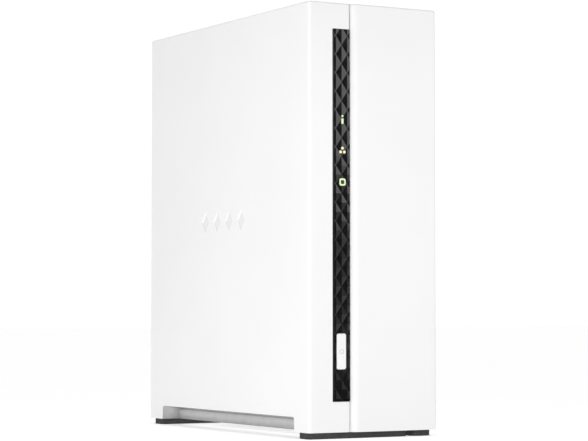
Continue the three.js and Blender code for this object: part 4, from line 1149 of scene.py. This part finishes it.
for screw_node in sorted(n for n in NODES if "_screw" in n):
    screw(screw_node)
fan_rotor()
fan_sticker()
ethernet_port()
usb_port("usb_port_upper", PORT_BLUE)
usb_port("usb_port_lower", PORT_WHITE)
power_inlet()
drive_lid()
board_parts()
transformer_pins()

refined("rear_panel", 0)
refined("drive_bracket", 0)

for plain_node in sorted(set(NODES) - REPLACED):
    refined(plain_node)


# ---- studio
def material_floor():
    """Matt white with a glow of its own."""
    s = Shader("studio_floor", roughness=0.9)
    s.paint(3, grey(0.86), grey(0.88))
    s.set("Specular IOR Level", 0.1)
    s.set("Emission Color", grey(1))
    s.set("Emission Strength", FLOOR_GLOW)
    return s.material


def stage_panel(name, corners, material):
    """A flat four-sided sheet that belongs to the studio."""
    mesh = bpy.data.meshes.new(name)
    mesh.from_pydata(corners, [], [(0, 1, 2, 3)])
    mesh.materials.append(material)
    panel = bpy.data.objects.new(name, mesh)
    bpy.context.scene.collection.objects.link(panel)
    return panel


def make_floor():
    """A floor that reaches six metres each way."""
    reach = 6.0
    corners = [(-reach, -reach, 0), (reach, -reach, 0), (reach, reach, 0), (-reach, reach, 0)]
    stage_panel("studio_floor", corners, material_floor())


def black_flags():
    """Two dark cards right of the camera that only reflections see. They darken the strip's facets."""
    s = Shader("black_card", roughness=1.0)
    s.set("Base Color", grey(0.01))
    s.set("Specular IOR Level", 0.0)

    def point(angle, distance, height):
        a = math.radians(angle)
        outward = Vector((math.sin(a), -math.cos(a), 0))
        return Vector(CARD["origin"]) + distance * outward + Vector((0, 0, height))

    (left, right), (start, end) = UPRIGHT_SPREAD, FLAT_SPREAD
    far, near, height, lift = CARD["far"], CARD["near"], CARD["height"], CARD["lift"]
    upright = [point(left, far, 0), point(right, far, 0)]
    upright += [point(right, far, height), point(left, far, height)]
    flat = [point(start, near, lift), point(start, far, lift)]
    flat += [point(end, far, lift), point(end, near, lift)]
    for name, corners in (("upright_flag", upright), ("floor_flag", flat)):
        card = stage_panel(name, corners, s.material)
        card.visible_camera = False
        card.visible_diffuse = False
        card.visible_shadow = False


def soft_light(name, place, aim, size, power, glossy, diffuse):
    """A rectangular light that the camera doesn't see."""
    data = bpy.data.lights.new(name, "AREA")
    data.shape = "RECTANGLE"
    data.size, data.size_y = size
    data.energy = power
    lamp = bpy.data.objects.new(name, data)
    lamp.location = place
    lamp.rotation_euler = (Vector(aim) - Vector(place)).to_track_quat("-Z", "Y").to_euler()
    lamp.visible_glossy = glossy
    lamp.visible_diffuse = diffuse
    lamp.visible_camera = False
    bpy.context.scene.collection.objects.link(lamp)


def overhead_light(strength, spread):
    """Light from straight above: it whitens the floor and leaves the object's contact shadow."""
    data = bpy.data.lights.new("overhead_light", "SUN")
    data.energy = strength
    data.angle = math.radians(spread)
    bpy.context.scene.collection.objects.link(bpy.data.objects.new("overhead_light", data))


def make_world(seen, lighting, mirrored):
    """A white background to the eye, with its own strength as a light and in reflections."""
    world = bpy.data.worlds.new("studio")
    world.use_nodes = True
    tree = world.node_tree
    paths = tree.nodes.new("ShaderNodeLightPath")
    strength = tree.nodes.new("ShaderNodeValue").outputs[0]
    strength.default_value = lighting
    for output, value in (("Is Glossy Ray", mirrored), ("Is Camera Ray", seen)):
        mix = tree.nodes.new("ShaderNodeMix")
        tree.links.new(paths.outputs[output], mix.inputs["Factor"])
        tree.links.new(strength, mix.inputs["A"])
        mix.inputs["B"].default_value = value
        strength = mix.outputs["Result"]
    tree.nodes["Background"].inputs["Color"].default_value = grey(1)
    tree.links.new(strength, tree.nodes["Background"].inputs["Strength"])
    bpy.context.scene.world = world


def make_camera():
    """The photograph's camera."""
    data = bpy.data.cameras.new("photo_camera")
    data.lens = LENS
    camera = bpy.data.objects.new("photo_camera", data)
    camera.location = CAMERA_PLACE
    camera.rotation_euler = (math.radians(90 + CAMERA_TILT), 0, math.radians(-CAMERA_YAW))
    bpy.context.scene.collection.objects.link(camera)
    bpy.context.scene.camera = camera


make_floor()
black_flags()
make_world(**WORLD)
for light_name, light in SOFT_LIGHTS.items():
    soft_light(light_name, *light)
overhead_light(0.8, 25)
make_camera()
bpy.context.scene.view_settings.view_transform = "Standard"
